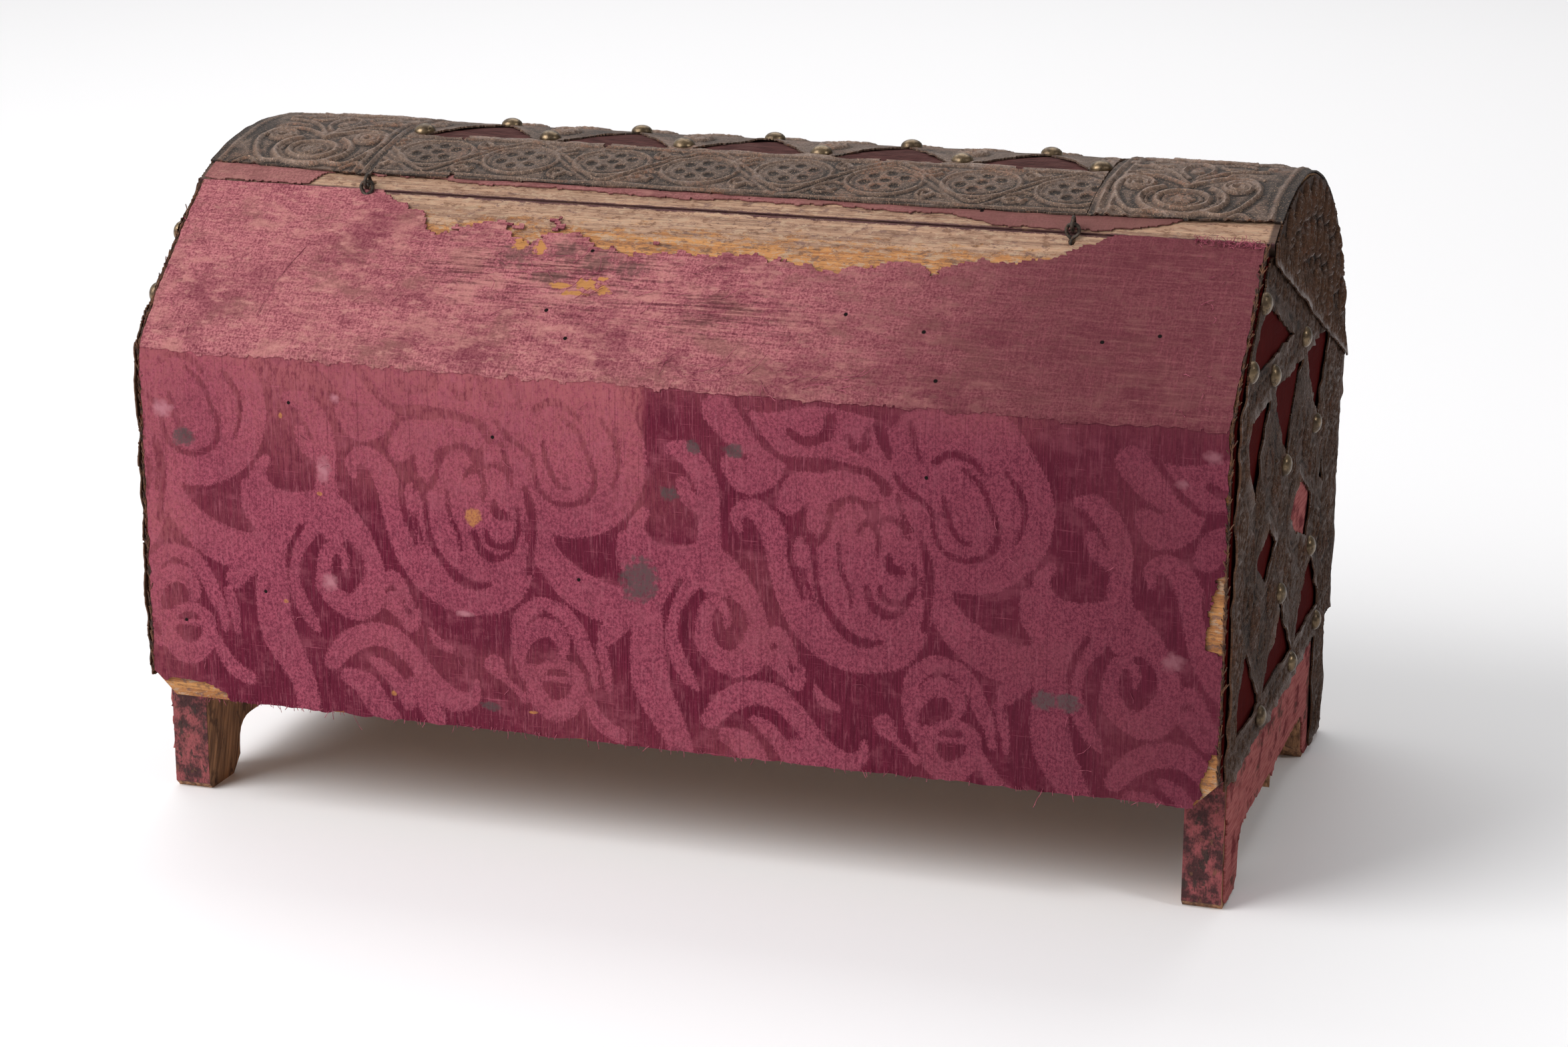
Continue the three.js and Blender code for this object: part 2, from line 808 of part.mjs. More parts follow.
function lidNailPlaces() {
  const corners = [...lidMiddles().map((x) => x - lidPeriod / 2), (lidPeriod * lidWindows) / 2];
  const reach = latticeHalf - nailRadius;
  const ends = corners.map((x) => THREE.MathUtils.clamp(x, -reach, reach));
  return [
    ...ends.map((x) => [x, borderEnd + baseNailOffset]),
    ...lidMiddles().map((x) => [x, borderEnd + lidTipRise + tipNailOffset]),
  ];
}

// Raised knobs: two rows over the middle of the lattice, and one between each two windows
function latticeKnobs() {
  const middleLine = (borderEnd + frontBorderStart) / 2;
  const rows = [middleLine - knobSpread, middleLine + knobSpread];
  const gaps = lidMiddles().slice(1).map((x) => x - lidPeriod / 2);
  const corners = [borderEnd + cornerKnobInset, frontBorderStart - cornerKnobInset];
  return [
    ...[...lidMiddles(), ...gaps].flatMap((x) => rows.map((along) => lidRod(x, along, knobRadius))),
    ...gaps.flatMap((x) => corners.map((along) => lidRod(x, along, cornerKnobRadius))),
  ];
}

function lidLattice() {
  const half = lidPeriod / 2 - windowMargin;
  const ends = [borderEnd + sheetSeam, frontBorderStart - sheetSeam, -latticeHalf, latticeHalf];
  const windows = lidMiddles().flatMap((x) => [
    [
      [x - half, borderEnd - sheetSeam],
      [x + half, borderEnd - sheetSeam],
      [x, borderEnd + lidTipRise],
    ],
    [
      [x - half, frontBorderStart + sheetSeam],
      [x, frontBorderStart - lidTipRise],
      [x + half, frontBorderStart + sheetSeam],
    ],
  ]);
  const holes = lidNailPlaces().map(([x, along]) => lidRod(x, along, nailShank + nailClearance));
  const raised = common(raisedStrip(...ends), join(...latticeKnobs()));
  return cut(join(lidStrip(...ends), raised), ...windows.map(domeCutter), ...holes);
}

// Nails: a domed head over a short shank through the sheet

function nail(point, outward, radius = nailRadius, rise = nailRise, shank = nailShank) {
  const profile = [
    [0, -sheetThickness],
    [shank, -sheetThickness],
    [shank, sheetGap],
    [radius, sheetGap],
    [radius * nailShoulder, sheetGap + rise * nailShoulder],
    [0, sheetGap + rise],
  ].map(([r, height]) => new THREE.Vector2(r, height));
  const turn = new THREE.Quaternion()
    .setFromUnitVectors(new THREE.Vector3(0, 1, 0), new THREE.Vector3(...outward));
  return new THREE.LatheGeometry(profile, nailSides).applyQuaternion(turn).translate(...point);
}

function lidNail([x, along]) {
  return nail([x, ...domePoint(along, sheetTop)], domeNormal(along));
}

function smallNail(point, outward) {
  return nail(point, outward, smallNailRadius, smallNailRise, smallNailShank);
}

// Wire hinges: two eyes linked at the pivot, each with a shank driven through the wood

const hingeSides = [-1, 1];
const pivot = overCrack(hingeLift);
const shankMouth = covingPoint(shankEntry / covingChord.length());
const toMouth = new THREE.Vector2(shankMouth[0] - pivot[0], shankMouth[1] - pivot[1]);
const mouthDistance = toMouth.length();
toMouth.normalize();
const clinchLift = shankRadius + clinchGap;
const chestSlant = -toMouth.dot(covingOutward); // how squarely the shank meets the coving
const chestShankLength = mouthDistance + (boardThickness + clinchLift) / chestSlant;

function fromPivot(distance) {
  return [pivot[0] + toMouth.x * distance, pivot[1] + toMouth.y * distance];
}

function hingeX(side) {
  return (side * hingeSpacing) / 2;
}

function chestShankHole(side) {
  const x = hingeX(side);
  const end = fromPivot(chestShankLength + clinchLift);
  return rod([x, ...pivot], [x, ...end], shankRadius + shankClearance, nailSides);
}

function chestEye(side) {
  const x = hingeX(side);
  const end = fromPivot(chestShankLength);
  const along = covingChord.clone().setLength(clinchLength);
  const ring = new THREE.TorusGeometry(chestEyeRadius, wireRadius, wireSides, eyeSteps)
    .rotateY(Math.PI / 2)
    .translate(x, ...pivot);
  return join(
    ring,
    rod([x, ...fromPivot(chestEyeRadius)], [x, ...end], shankRadius, nailSides),
    rod([x, ...end], [x, end[0] + along.x, end[1] + along.y], shankRadius, nailSides),
  );
}

// The lid's shank enters the rearmost stave in front of the pivot
const lidShankAlong = 2 * lidEyeRadius;
const lidShankTop = domePoint(lidShankAlong, hingeLift);
const lidShankLift = -staveThickness - clinchLift;

function lidShankHole(side) {
  const x = hingeX(side);
  const end = domePoint(lidShankAlong, lidShankLift - clinchLift);
  return rod([x, ...lidShankTop], [x, ...end], shankRadius + shankClearance, nailSides);
}

function lidEye(side) {
  const x = hingeX(side);
  const end = domePoint(lidShankAlong, lidShankLift);
  const clinch = domePoint(lidShankAlong + clinchLength, lidShankLift);
  const ring = new THREE.TorusGeometry(lidEyeRadius, wireRadius, wireSides, eyeSteps)
    .rotateX(-domeAngle(0))
    .translate(x, ...overCrack(hingeLift, lidEyeRadius));
  return join(
    ring,
    rod([x, ...lidShankTop], [x, ...end], shankRadius, nailSides),
    rod([x, ...end], [x, ...clinch], shankRadius, nailSides),
  );
}

// Lock

const plateLeft = plateMiddle - plateWidth / 2;
const plateRight = plateMiddle + plateWidth / 2;
const plateBack = -halfDepth - sheetTop - sheetGap;
const plateFront = plateBack - plateThickness;
const boltRear = boltTip - boltLength;
const boltFace = -halfDepth - boltFront;
const boltBack = boltFace + boltThickness;

// Hollow in the front board, and the same opening in the cloth and sheet over it
function lockRecess() {
  return box(
    plateLeft + recessMargin,
    plateRight - recessMargin,
    -far,
    recessDepth - halfDepth,
    plateBottom + recessMargin,
    plateTop - recessMargin,
  );
}

function plateNailPlaces() {
  return [plateLeft + plateNailInset, plateRight - plateNailInset].flatMap((x) => [
    [x, plateBottom + plateNailInset],
    [x, plateTop - plateNailInset],
  ]);
}

function lockPlate() {
  const shape = polygon(rectangle(plateLeft, plateRight, plateBottom, plateTop));
  const slot = rectangle(-slotWidth / 2, slotWidth / 2, slotBottom, slotTop);
  const key = [keyholeX - keySlotWidth / 2, keyholeX + keySlotWidth / 2];
  const openings = [
    slot,
    roundHole(keyholeX, keyholeHeight, keyholeRadius),
    rectangle(...key, keyholeHeight - keySlotDrop, keyholeHeight),
    ...plateNailPlaces().map(([x, z]) => roundHole(x, z, smallNailShank + nailClearance)),
  ];
  const cutters = openings
    .map((points) => alongY(polygon(points), plateFront - plateThickness, -halfDepth));
  return cut(alongY(shape, plateFront, plateBack), ...cutters);
}

function plateNail([x, z]) {
  return smallNail([x, plateFront, z], [0, -1, 0]);
}

function lockBolt() {
  const low = boltMiddle - boltHeight / 2;
  const bar = box(boltRear, boltTip, boltFace, boltBack, low, low + boltHeight);
  const talon = box(
    keyholeX - talonWidth / 2,
    keyholeX + talonWidth / 2,
    boltFace - cutterMargin,
    boltBack + cutterMargin,
    low - cutterMargin,
    low + talonDepth,
  );
  return cut(bar, talon);
}

function lockGuide(offset) {
  const inner = boltHeight / 2 + boltClearance;
  const outer = inner + guideWall;
  const innerBack = boltBack + boltClearance;
  const x0 = boltTip - offset - guideWidth / 2;
  const x1 = x0 + guideWidth;
  const face = plateBack + sheetGap;
  return cut(
    box(x0, x1, face, innerBack + guideWall, boltMiddle - outer, boltMiddle + outer),
    box(
      x0 - cutterMargin,
      x1 + cutterMargin,
      face - cutterMargin,
      innerBack,
      boltMiddle - inner,
      boltMiddle + inner,
    ),
  );
}

// A leaf that presses on the tail of the bolt
function lockSpring() {
  const wall = plateLeft + recessMargin + springSlack;
  const low = boltMiddle + boltHeight / 2 + springSlack;
  const high = low + springRise;
  const shape = polygon([
    [wall, high],
    [wall + springLand, high],
    [boltRear + springReach, low],
    [boltRear + springReach, low + springThickness],
    [wall + springLand, high + springThickness],
    [wall, high + springThickness],
  ]);
  const y = boltFace + (boltThickness - springWidth) / 2;
  return alongY(shape, y, y + springWidth);
}

// Hasp and what it hangs on

const haspY = -halfDepth - haspPivotReach; // pivot
const strapBack = haspY - haspSet + haspThickness / 2;
const strapFront = strapBack - haspThickness;
const knuckleHalf = knuckleWidth / 2;

function barrel(x0, x1, radius) {
  return rod([x0, haspY, haspPivotHeight], [x1, haspY, haspPivotHeight], radius, barrelSides);
}

function haspPin() {
  const half = haspWidth / 2 + knuckleGap;
  return join(
    barrel(-half - pinHead, -half, pinHeadRadius),
    barrel(-half - pinHead, half + pinHead, pinRadius),
    barrel(half, half + pinHead, pinHeadRadius),
  );
}

function haspMount() {
  const half = haspWidth / 2;
  const start = domeLength - strapSet;
  const low = sheetTop + sheetGap;
  const strap = alongX(domeBand(start - strapLength, start, low, low + strapThickness), -half, half);
  const tongue = alongX(polygon([
    [haspY, haspPivotHeight + strapThickness / 2],
    [haspY, haspPivotHeight - strapThickness / 2],
    domePoint(start - haspOverlap, low + sheetGap),
    domePoint(start - haspOverlap, low + strapThickness - sheetGap),
  ]), -knuckleHalf, knuckleHalf);
  const holes = strapNails.map((distance) => {
    const point = domePoint(start - distance, low);
    const outward = domeNormal(start - distance);
    const reach = [point[0] + outward[1] * nailRise, point[1] + outward[2] * nailRise];
    const back = [point[0] - outward[1], point[1] - outward[2]];
    return rod([0, ...back], [0, ...reach], smallNailShank + nailClearance, nailSides);
  });
  const body = join(strap, tongue, barrel(-knuckleHalf, knuckleHalf, knuckleRadius));
  return cut(body, barrel(-haspWidth, haspWidth, pinRadius + pinClearance), ...holes);
}

function strapNail(distance) {
  const along = domeLength - strapSet - distance;
  const point = domePoint(along, sheetTop + sheetGap + strapThickness);
  return smallNail([0, ...point], domeNormal(along));
}

function haspBody() {
  const half = haspWidth / 2;
  const inner = knuckleHalf + knuckleGap;
  const shoulder = haspPivotHeight - knuckleRadius - knuckleGap;
  const eyeLow = boltMiddle - stapleEye / 2;
  const eyeHigh = boltMiddle + stapleEye / 2;
  const stapleEnd = stapleReach - halfDepth;
  const staple = cut(
    box(
      -stapleThickness / 2,
      stapleThickness / 2,
      strapFront + haspThickness / 2,
      stapleEnd + stapleWire,
      eyeLow - stapleLeg,
      eyeHigh + stapleLeg,
    ),
    box(-haspWidth, haspWidth, strapBack, stapleEnd, eyeLow, eyeHigh),
  );
  const body = join(
    box(-half, half, strapFront, strapBack, haspFoot, shoulder),
    box(-half, -inner, strapFront, strapBack, shoulder - haspOverlap, haspPivotHeight),
    box(inner, half, strapFront, strapBack, shoulder - haspOverlap, haspPivotHeight),
    barrel(-half, -inner, knuckleRadius),
    barrel(inner, half, knuckleRadius),
    staple,
  );
  return cut(body, barrel(-haspWidth, haspWidth, pinRadius + pinClearance));
}

// Assembly

for (const [side, name] of [[-1, 'left'], [1, 'right']]) {
  addPart(chest, `end_board_${name}`, endBoard(side), darkWood);
  addPart(chest, `end_velvet_${name}`, endVelvet(side), velvet);
  addPart(chest, `end_mount_${name}`, endSheet(side), embossed);
  addPart(chest, `hinge_body_loop_${name}`, chestEye(side), iron);
  addPart(lid, `lid_end_${name}`, lidEnd(side), darkWood);
  addPart(lid, `lid_end_mount_${name}`, lidEndSheet(side), embossed);
  addPart(lid, `lid_band_${name}`, lidBand(side), embossed);
  addPart(lid, `hinge_lid_loop_${name}`, lidEye(side), iron);
}

addPart(chest, 'back_board', backBoard(), wood);
addPart(chest, 'back_coving', backCoving(), wood);
addPart(chest, 'front_board', frontBoard(), wood);
addPart(chest, 'bottom_board', bottomBoard(), wood);
addPart(chest, 'back_damask', backDamask(), damask);
addPart(chest, 'coving_cloth', covingCloth(), wornCloth);
addPart(chest, 'front_velvet', frontVelvet(), velvet);
addPart(chest, 'front_mount', frontSheet(), embossed);
addPart(chest, 'lock_plate', lockPlate(), iron);
addPart(chest, 'lock_spring', lockSpring(), iron);
addPart(bolt, 'lock_bolt', lockBolt(), iron);

for (let index = 0; index < staveCount; index += 1) {
  addPart(lid, `lid_stave_${index + 1}`, lidStave(index), wood);
}
addPart(lid, 'lid_velvet', lidVelvet(), velvet);
addPart(lid, 'lid_rear_border', lidStrip(edgeBare, borderEnd, -latticeHalf, latticeHalf), embossed);
addPart(lid, 'lid_lattice', lidLattice(), embossed);
addPart(
  lid,
  'lid_front_border',
  lidStrip(frontBorderStart, domeLength - hemMargin, -latticeHalf, latticeHalf),
  embossed,
);
addPart(lid, 'hasp_mount', haspMount(), iron);
addPart(lid, 'hasp_pin', haspPin(), iron);
addPart(hasp, 'hasp', haspBody(), iron);

// A set of like pieces, each with its own number
function addSet(group, name, places, make, material) {
  places.forEach((place, i) => addPart(group, `${name}_${i + 1}`, make(place), material));
}

addSet(chest, 'lock_guide', guideOffsets, lockGuide, iron);
addSet(chest, 'plate_nail', plateNailPlaces(), plateNail, brass);
addSet(lid, 'lid_nail', lidNailPlaces(), lidNail, brass);
addSet(lid, 'strap_nail', strapNails, strapNail, brass);

// The casket stands on its feet, with its middle over the origin
const casket = new THREE.Group();
casket.add(chest, lid, hasp, bolt);
const bounds = new THREE.Box3().setFromObject(casket);
const middle = bounds.getCenter(new THREE.Vector3());
casket.position.set(-middle.x, -middle.y, -bounds.min.z);

export default casket;
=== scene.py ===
import json
import math

import bpy
import numpy as np
from mathutils import Matrix, Vector

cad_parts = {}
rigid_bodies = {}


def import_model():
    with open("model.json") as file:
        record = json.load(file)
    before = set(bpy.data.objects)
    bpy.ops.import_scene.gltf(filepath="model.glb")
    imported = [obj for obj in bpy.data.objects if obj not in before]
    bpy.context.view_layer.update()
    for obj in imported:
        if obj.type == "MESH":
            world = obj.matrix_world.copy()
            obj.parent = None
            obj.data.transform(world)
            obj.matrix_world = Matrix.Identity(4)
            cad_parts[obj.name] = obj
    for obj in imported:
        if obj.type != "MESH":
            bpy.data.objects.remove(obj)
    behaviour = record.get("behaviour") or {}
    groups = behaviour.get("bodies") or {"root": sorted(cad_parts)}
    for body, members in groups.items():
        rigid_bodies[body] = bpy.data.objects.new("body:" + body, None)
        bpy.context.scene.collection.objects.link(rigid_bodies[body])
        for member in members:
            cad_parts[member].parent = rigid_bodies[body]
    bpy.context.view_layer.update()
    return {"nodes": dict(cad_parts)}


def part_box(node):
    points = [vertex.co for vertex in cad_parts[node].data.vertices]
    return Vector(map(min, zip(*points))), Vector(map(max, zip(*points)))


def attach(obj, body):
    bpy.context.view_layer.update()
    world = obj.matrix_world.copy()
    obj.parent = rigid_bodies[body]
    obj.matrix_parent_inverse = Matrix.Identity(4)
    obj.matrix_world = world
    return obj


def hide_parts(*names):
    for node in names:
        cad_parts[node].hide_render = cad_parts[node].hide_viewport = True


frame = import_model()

nodes = frame["nodes"]
mm = 0.001
quarter = math.pi / 2
smoothAngle = 50  # sharper edges stay sharp
noiseRepeat = 64  # lumps after which the noise comes back
sides = ((-1, "left"), (1, "right"))

# The casket as it was built, in mm, with y from its own middle and z from the floor
casket = {
    "halfLength": 201.0,
    "halfDepth": 115.2,
    "seam": 175.0,  # where the back board meets the coving
    "backFoot": 42.0,  # lower edge of the back board
    "cornerCut": 9.0,
    "crown": 240.0,
    "rearRadius": 134.6,
    "hinge": 59.2,  # crack between lid and coving, behind the middle
    "lidFront": 158.0,
    "covingBulge": 2.2,
    "boardThickness": 13.1,
    "lidHalfLength": 202.6,
    "hem": 0.8,
}
clothBack, clothTop = 0.15, 0.85  # layers off the wood
sheetBack, sheetTop = 0.95, 1.6
clothLayer, sheetLayer = (clothBack, clothTop), (sheetBack, sheetTop)
halfLength = casket["halfLength"]
clothHalf = halfLength - casket["hem"]
halfDepth = casket["halfDepth"]
innerDepth = halfDepth - casket["boardThickness"]
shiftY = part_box("back_board")[1].y / mm - halfDepth

frontDrop = casket["crown"] - casket["lidFront"]
frontRadius = (frontDrop**2 + halfDepth**2) / (2 * frontDrop)
crownArc = casket["rearRadius"] * math.asin(casket["hinge"] / casket["rearRadius"])
domeLength = crownArc + frontRadius * math.asin(halfDepth / frontRadius)
lidEdgeFront = domeLength - casket["hem"]
hingeHeight = casket["crown"] - casket["rearRadius"] * (1 - math.cos(crownArc / casket["rearRadius"]))
hingeY = casket["hinge"] + shiftY
splitSlope = (hingeHeight - casket["lidFront"]) / (casket["hinge"] + halfDepth)

covingChord = np.array([halfDepth - casket["hinge"], casket["seam"] - hingeHeight])
chordLength = float(np.hypot(*covingChord))
covingRadius = chordLength**2 / (8 * casket["covingBulge"]) + casket["covingBulge"] / 2
covingOut = np.array([-covingChord[1], covingChord[0]]) / chordLength
covingCentre = np.array([casket["hinge"], hingeHeight]) + covingChord / 2
covingCentre = covingCentre + covingOut * (casket["covingBulge"] - covingRadius)
covingHigh = math.atan2(hingeHeight - covingCentre[1], casket["hinge"] - covingCentre[0])
covingLow = math.atan2(casket["seam"] - covingCentre[1], halfDepth - covingCentre[0])
covingLength = covingRadius * (covingHigh - covingLow)


# Places on the casket: two flat coordinates in mm and a height off the wood

def toFrame(x, y, z):
    x, y, z = np.broadcast_arrays(x, y, z)
    return np.stack([x, y + shiftY, z], axis=-1) * mm


def onBack(u, height, lift):
    return toFrame(-u, halfDepth + lift, height)


def onCoving(u, rise, lift):
    # rise is measured up the board from the seam
    angle = covingLow + rise / covingRadius
    reach = covingRadius + lift
    return toFrame(-u, covingCentre[0] + np.cos(angle) * reach, covingCentre[1] + np.sin(angle) * reach)


def onLid(u, along, lift):
    # along is measured over the lid from the crack to its front edge
    radius = np.where(along < crownArc, casket["rearRadius"], frontRadius)
    angle, reach = (crownArc - along) / radius, radius + lift
    return toFrame(-u, np.sin(angle) * reach, casket["crown"] - radius + np.cos(angle) * reach)


def onFront(x, height, lift):
    return toFrame(x, -halfDepth - lift, height)


def onEnd(side, reach):
    def place(ahead, height, lift):
        return toFrame(side * (reach + lift), -ahead, height)

    return place


def splitHeight(y):
    return hingeHeight + (y - casket["hinge"]) * splitSlope


# Camera, floor and lamps

def paint(red, green, blue):
    # a colour as it looks on a screen, 0 to 255
    levels = [c / 255 for c in (red, green, blue)]
    return tuple(c / 12.92 if c < 0.04045 else ((c + 0.055) / 1.055) ** 2.4 for c in levels) + (1.0,)


camera = {
    "position": (-387.0, 1182.3, 440.5),
    "yaw": 17.77,
    "pitch": 15.57,
    "roll": 0.2,
    "lens": 77.0,
    "sensor": 36.0,
}


def addCamera():
    data = bpy.data.cameras.new("camera")
    data.lens = camera["lens"]
    data.sensor_width = camera["sensor"]
    yaw, pitch = math.radians(camera["yaw"]), math.radians(camera["pitch"])
    look = Vector((math.sin(yaw) * math.cos(pitch), -math.cos(yaw) * math.cos(pitch), -math.sin(pitch)))
    turn = look.to_track_quat("-Z", "Y").to_matrix() @ Matrix.Rotation(math.radians(camera["roll"]), 3, "Z")
    made = bpy.data.objects.new("camera", data)
    made.matrix_world = Matrix.Translation(Vector(camera["position"]) * mm) @ turn.to_4x4()
    bpy.context.scene.collection.objects.link(made)
    bpy.context.scene.camera = made


lamps = [
    # name, where it stands, where it points, size and watts
    ("key", (1.35, 1.35, 1.55), (0.05, 0.05, 0.12), 1.6, 51.0),
    ("far", (0.7, -2.2, 2.4), (0.7, -2.3, 0.0), 3.0, 47.0),
    ("side", (-1.5, 0.5, 1.3), (-0.2, 0.0, 0.15), 0.35, 6.0),
]
room = {"left": 0.6, "right": 0.19, "seen": 0.95}
floorLook = {"size": 14.0, "colour": paint(238, 237, 239), "seen": paint(251, 250, 251), "roughness": 0.6}


def addLamps():
    for name, stand, target, size, watts in lamps:
        data = bpy.data.lights.new(name, "AREA")
        data.size = size
        data.energy = watts
        made = bpy.data.objects.new(name, data)
        made.location = stand
        made.rotation_euler = (Vector(target) - Vector(stand)).to_track_quat("-Z", "Y").to_euler()
        bpy.context.scene.collection.objects.link(made)
    world = bpy.data.worlds.new("room")
    bpy.context.scene.world = world
    world.use_nodes = True
    tree = world.node_tree
    direction = axisOf(tree, put(tree, "TexCoord").outputs["Generated"], "X")
    light = between(tree, direction, -0.8, 0.9, room["right"], room["left"])
    seen = put(tree, "LightPath").outputs["Is Camera Ray"]
    strength = put(tree, "Mix", [seen, None, light, room["seen"]], data_type="FLOAT").outputs[0]
    fill(tree, tree.nodes["Background"], {"Color": (1.0, 1.0, 1.0, 1.0), "Strength": strength})


# Nodes of a material

def fill(tree, made, inputs):
    # links an input to a socket, or gives it a value
    pairs = inputs.items() if isinstance(inputs, dict) else enumerate(inputs)
    for key, value in pairs:
        if isinstance(value, bpy.types.NodeSocket):
            tree.links.new(value, made.inputs[key])
        elif value is not None:
            made.inputs[key].default_value = value
    return made


def put(tree, kind, inputs=(), **settings):
    made = tree.nodes.new("ShaderNode" + kind)
    for key, value in settings.items():
        setattr(made, key, value)
    return fill(tree, made, inputs)


def calc(tree, operation, *values):
    return put(tree, "Math", values, operation=operation).outputs[0]


def times(tree, first, second):
    return calc(tree, "MULTIPLY", first, second)


def plus(tree, first, second):
    return calc(tree, "ADD", first, second)


def swing(tree, noise, width):
    # a noise moved to lie about 0, over a width
    return times(tree, calc(tree, "SUBTRACT", noise, 0.5), width)


def axisOf(tree, vector, axis):
    return put(tree, "SeparateXYZ", [vector]).outputs[axis]


def between(tree, value, low, high, start=0.0, end=1.0):
    # a smooth step from start to end as value goes from low to high
    span = {"Value": value, "From Min": low, "From Max": high, "To Min": start, "To Max": end}
    return put(tree, "MapRange", span, interpolation_type="SMOOTHSTEP").outputs["Result"]


def mixed(tree, share, first, second):
    return put(tree, "Mix", {0: share, 6: first, 7: second}, data_type="RGBA").outputs[2]


def noise(tree, vector, **settings):
    return put(tree, "TexNoise", {"Vector": vector, "Scale": 1.0, **settings}).outputs[0]


def lumps(tree, vector, size, detail=3.0, rough=0.55, shift=0.0):
    # noise with lumps of a size in mm, along each coordinate
    moved = [vector, tuple(1 / s for s in size), (shift, shift * 1.7, shift * 0.6)]
    scaled = put(tree, "VectorMath", moved, operation="MULTIPLY_ADD").outputs[0]
    return noise(tree, scaled, Detail=detail, Roughness=rough)


def covered(tree, colour, *covers):
    # a colour with others over it: each has its value, from, to, largest share and colour
    for value, low, high, share, cover in covers:
        colour = mixed(tree, between(tree, value, low, high, 0.0, share), colour, cover)
    return colour


def patched(tree, vector, colour, patches):
    # patches over a colour: size of the lumps, detail, roughness and shift of each, then as in covered
    for size, detail, rough, shift, *cover in patches:
        colour = covered(tree, colour, (lumps(tree, vector, size, detail, rough, shift), *cover))
    return colour


def newGroup(name, inputs, outputs):
    group = bpy.data.node_groups.new(name, "ShaderNodeTree")
    for label, kind, value in inputs:
        socket = group.interface.new_socket(label, in_out="INPUT", socket_type="NodeSocket" + kind)
        if value is not None:
            socket.default_value = value
    for label in outputs:
        group.interface.new_socket(label, in_out="OUTPUT", socket_type="NodeSocketFloat")
    source = group.nodes.new("NodeGroupInput").outputs
    result = group.nodes.new("NodeGroupOutput")
    return group, source, result


def use(tree, group, **inputs):
    made = tree.nodes.new("ShaderNodeGroup")
    made.node_tree = group
    return fill(tree, made, inputs).outputs


def makeThreadGroup():
    # warp runs up the cloth and weft across it
    group, source, result = newGroup(
        "threads",
        [("Vector", "Vector", None), ("Pitch", "Float", 0.5), ("Slub", "Float", 12.0)],
        ["Warp", "Weft", "Height"],
    )
    across, up, slowAcross, slowUp = [
        calc(group, "DIVIDE", axisOf(group, source["Vector"], axis), source[size])
        for size in ("Pitch", "Slub") for axis in ("X", "Y")
    ]
    warp = noise(group, put(group, "CombineXYZ", [across, slowUp, 3.1]).outputs[0], Detail=2.0)
    weft = noise(group, put(group, "CombineXYZ", [slowAcross, up, 7.7]).outputs[0], Detail=2.0)
    height = plus(group, times(group, warp, 0.5), times(group, weft, 0.5))
    fill(group, result, {"Warp": warp, "Weft": weft, "Height": height})
    return group


def makeSpotGroup():
    # a ragged spot round a place, 1 inside it
    group, source, result = newGroup(
        "spot",
        [
            ("Vector", "Vector", None),
            ("Centre", "Vector", (0.0, 0.0, 0.0)),
            ("Size", "Vector", (1.0, 1.0, 1.0)),
            ("Ragged", "Float", 0.0),
            ("Soft", "Float", 0.2),
        ],
        ["Mask"],
    )
    away = put(group, "VectorMath", [source["Vector"], source["Centre"]], operation="SUBTRACT").outputs[0]
    flat = put(group, "VectorMath", [away, (1.0, 1.0, 0.0)], operation="MULTIPLY").outputs[0]
    scaled = put(group, "VectorMath", [flat, source["Size"]], operation="DIVIDE").outputs[0]
    distance = put(group, "VectorMath", [scaled], operation="LENGTH").outputs["Value"]
    rough = noise(group, source["Vector"], Scale=0.45, Detail=4.0)
    inside = calc(group, "SUBTRACT", 1.0, plus(group, distance, swing(group, rough, source["Ragged"])))
    mask = put(group, "Clamp", [calc(group, "DIVIDE", inside, source["Soft"])]).outputs[0]
    fill(group, result, {"Mask": mask})
    return group


def makeGrainGroup():
    # wood grain along the vector's X
    group, source, result = newGroup(
        "grain",
        [("Vector", "Vector", None), ("Width", "Float", 3.0), ("Length", "Float", 90.0)],
        ["Grain", "Pores", "Height"],
    )
    stretched = [
        calc(group, "DIVIDE", axisOf(group, source["Vector"], axis), source[size])
        for axis, size in (("X", "Length"), ("Y", "Width"), ("Z", "Width"))
    ]
    vector = put(group, "CombineXYZ", stretched).outputs[0]
    grain = noise(group, vector, Detail=5.0, Roughness=0.6, Distortion=0.6)
    fine = put(group, "VectorMath", [vector, (4.0, 6.0, 6.0)], operation="MULTIPLY").outputs[0]
    pores = between(group, noise(group, fine, Detail=3.0), 0.56, 0.72)
    height = calc(group, "SUBTRACT", grain, times(group, pores, 0.6))
    fill(group, result, {"Grain": grain, "Pores": pores, "Height": height})
    return group


groups = {"threads": makeThreadGroup(), "spot": makeSpotGroup(), "grain": makeGrainGroup()}
print("shared node groups made")


def newMaterial(name):
    made = bpy.data.materials.new(name)
    made.use_nodes = True
    tree = made.node_tree
    return made, tree, tree.nodes["Principled BSDF"]


def flatVector(tree):
    # the piece's own flat coordinates in mm
    return put(tree, "Attribute", attribute_name="flat").outputs["Vector"]


def objectVector(tree, turn=(0.0, 0.0, 0.0)):
    # the frame's coordinates in mm, turned so that grain can run along X
    place = put(tree, "TexCoord").outputs["Object"]
    scale = (1 / mm, 1 / mm, 1 / mm)
    return put(tree, "Mapping", {"Vector": place, "Rotation": turn, "Scale": scale}).outputs[0]


def ownValue(tree, name):
    return put(tree, "Attribute", attribute_name=name).outputs["Fac"]


def bumped(tree, height, depth):
    return put(tree, "Bump", {"Height": height, "Distance": depth * mm, "Strength": 1.0}).outputs[0]


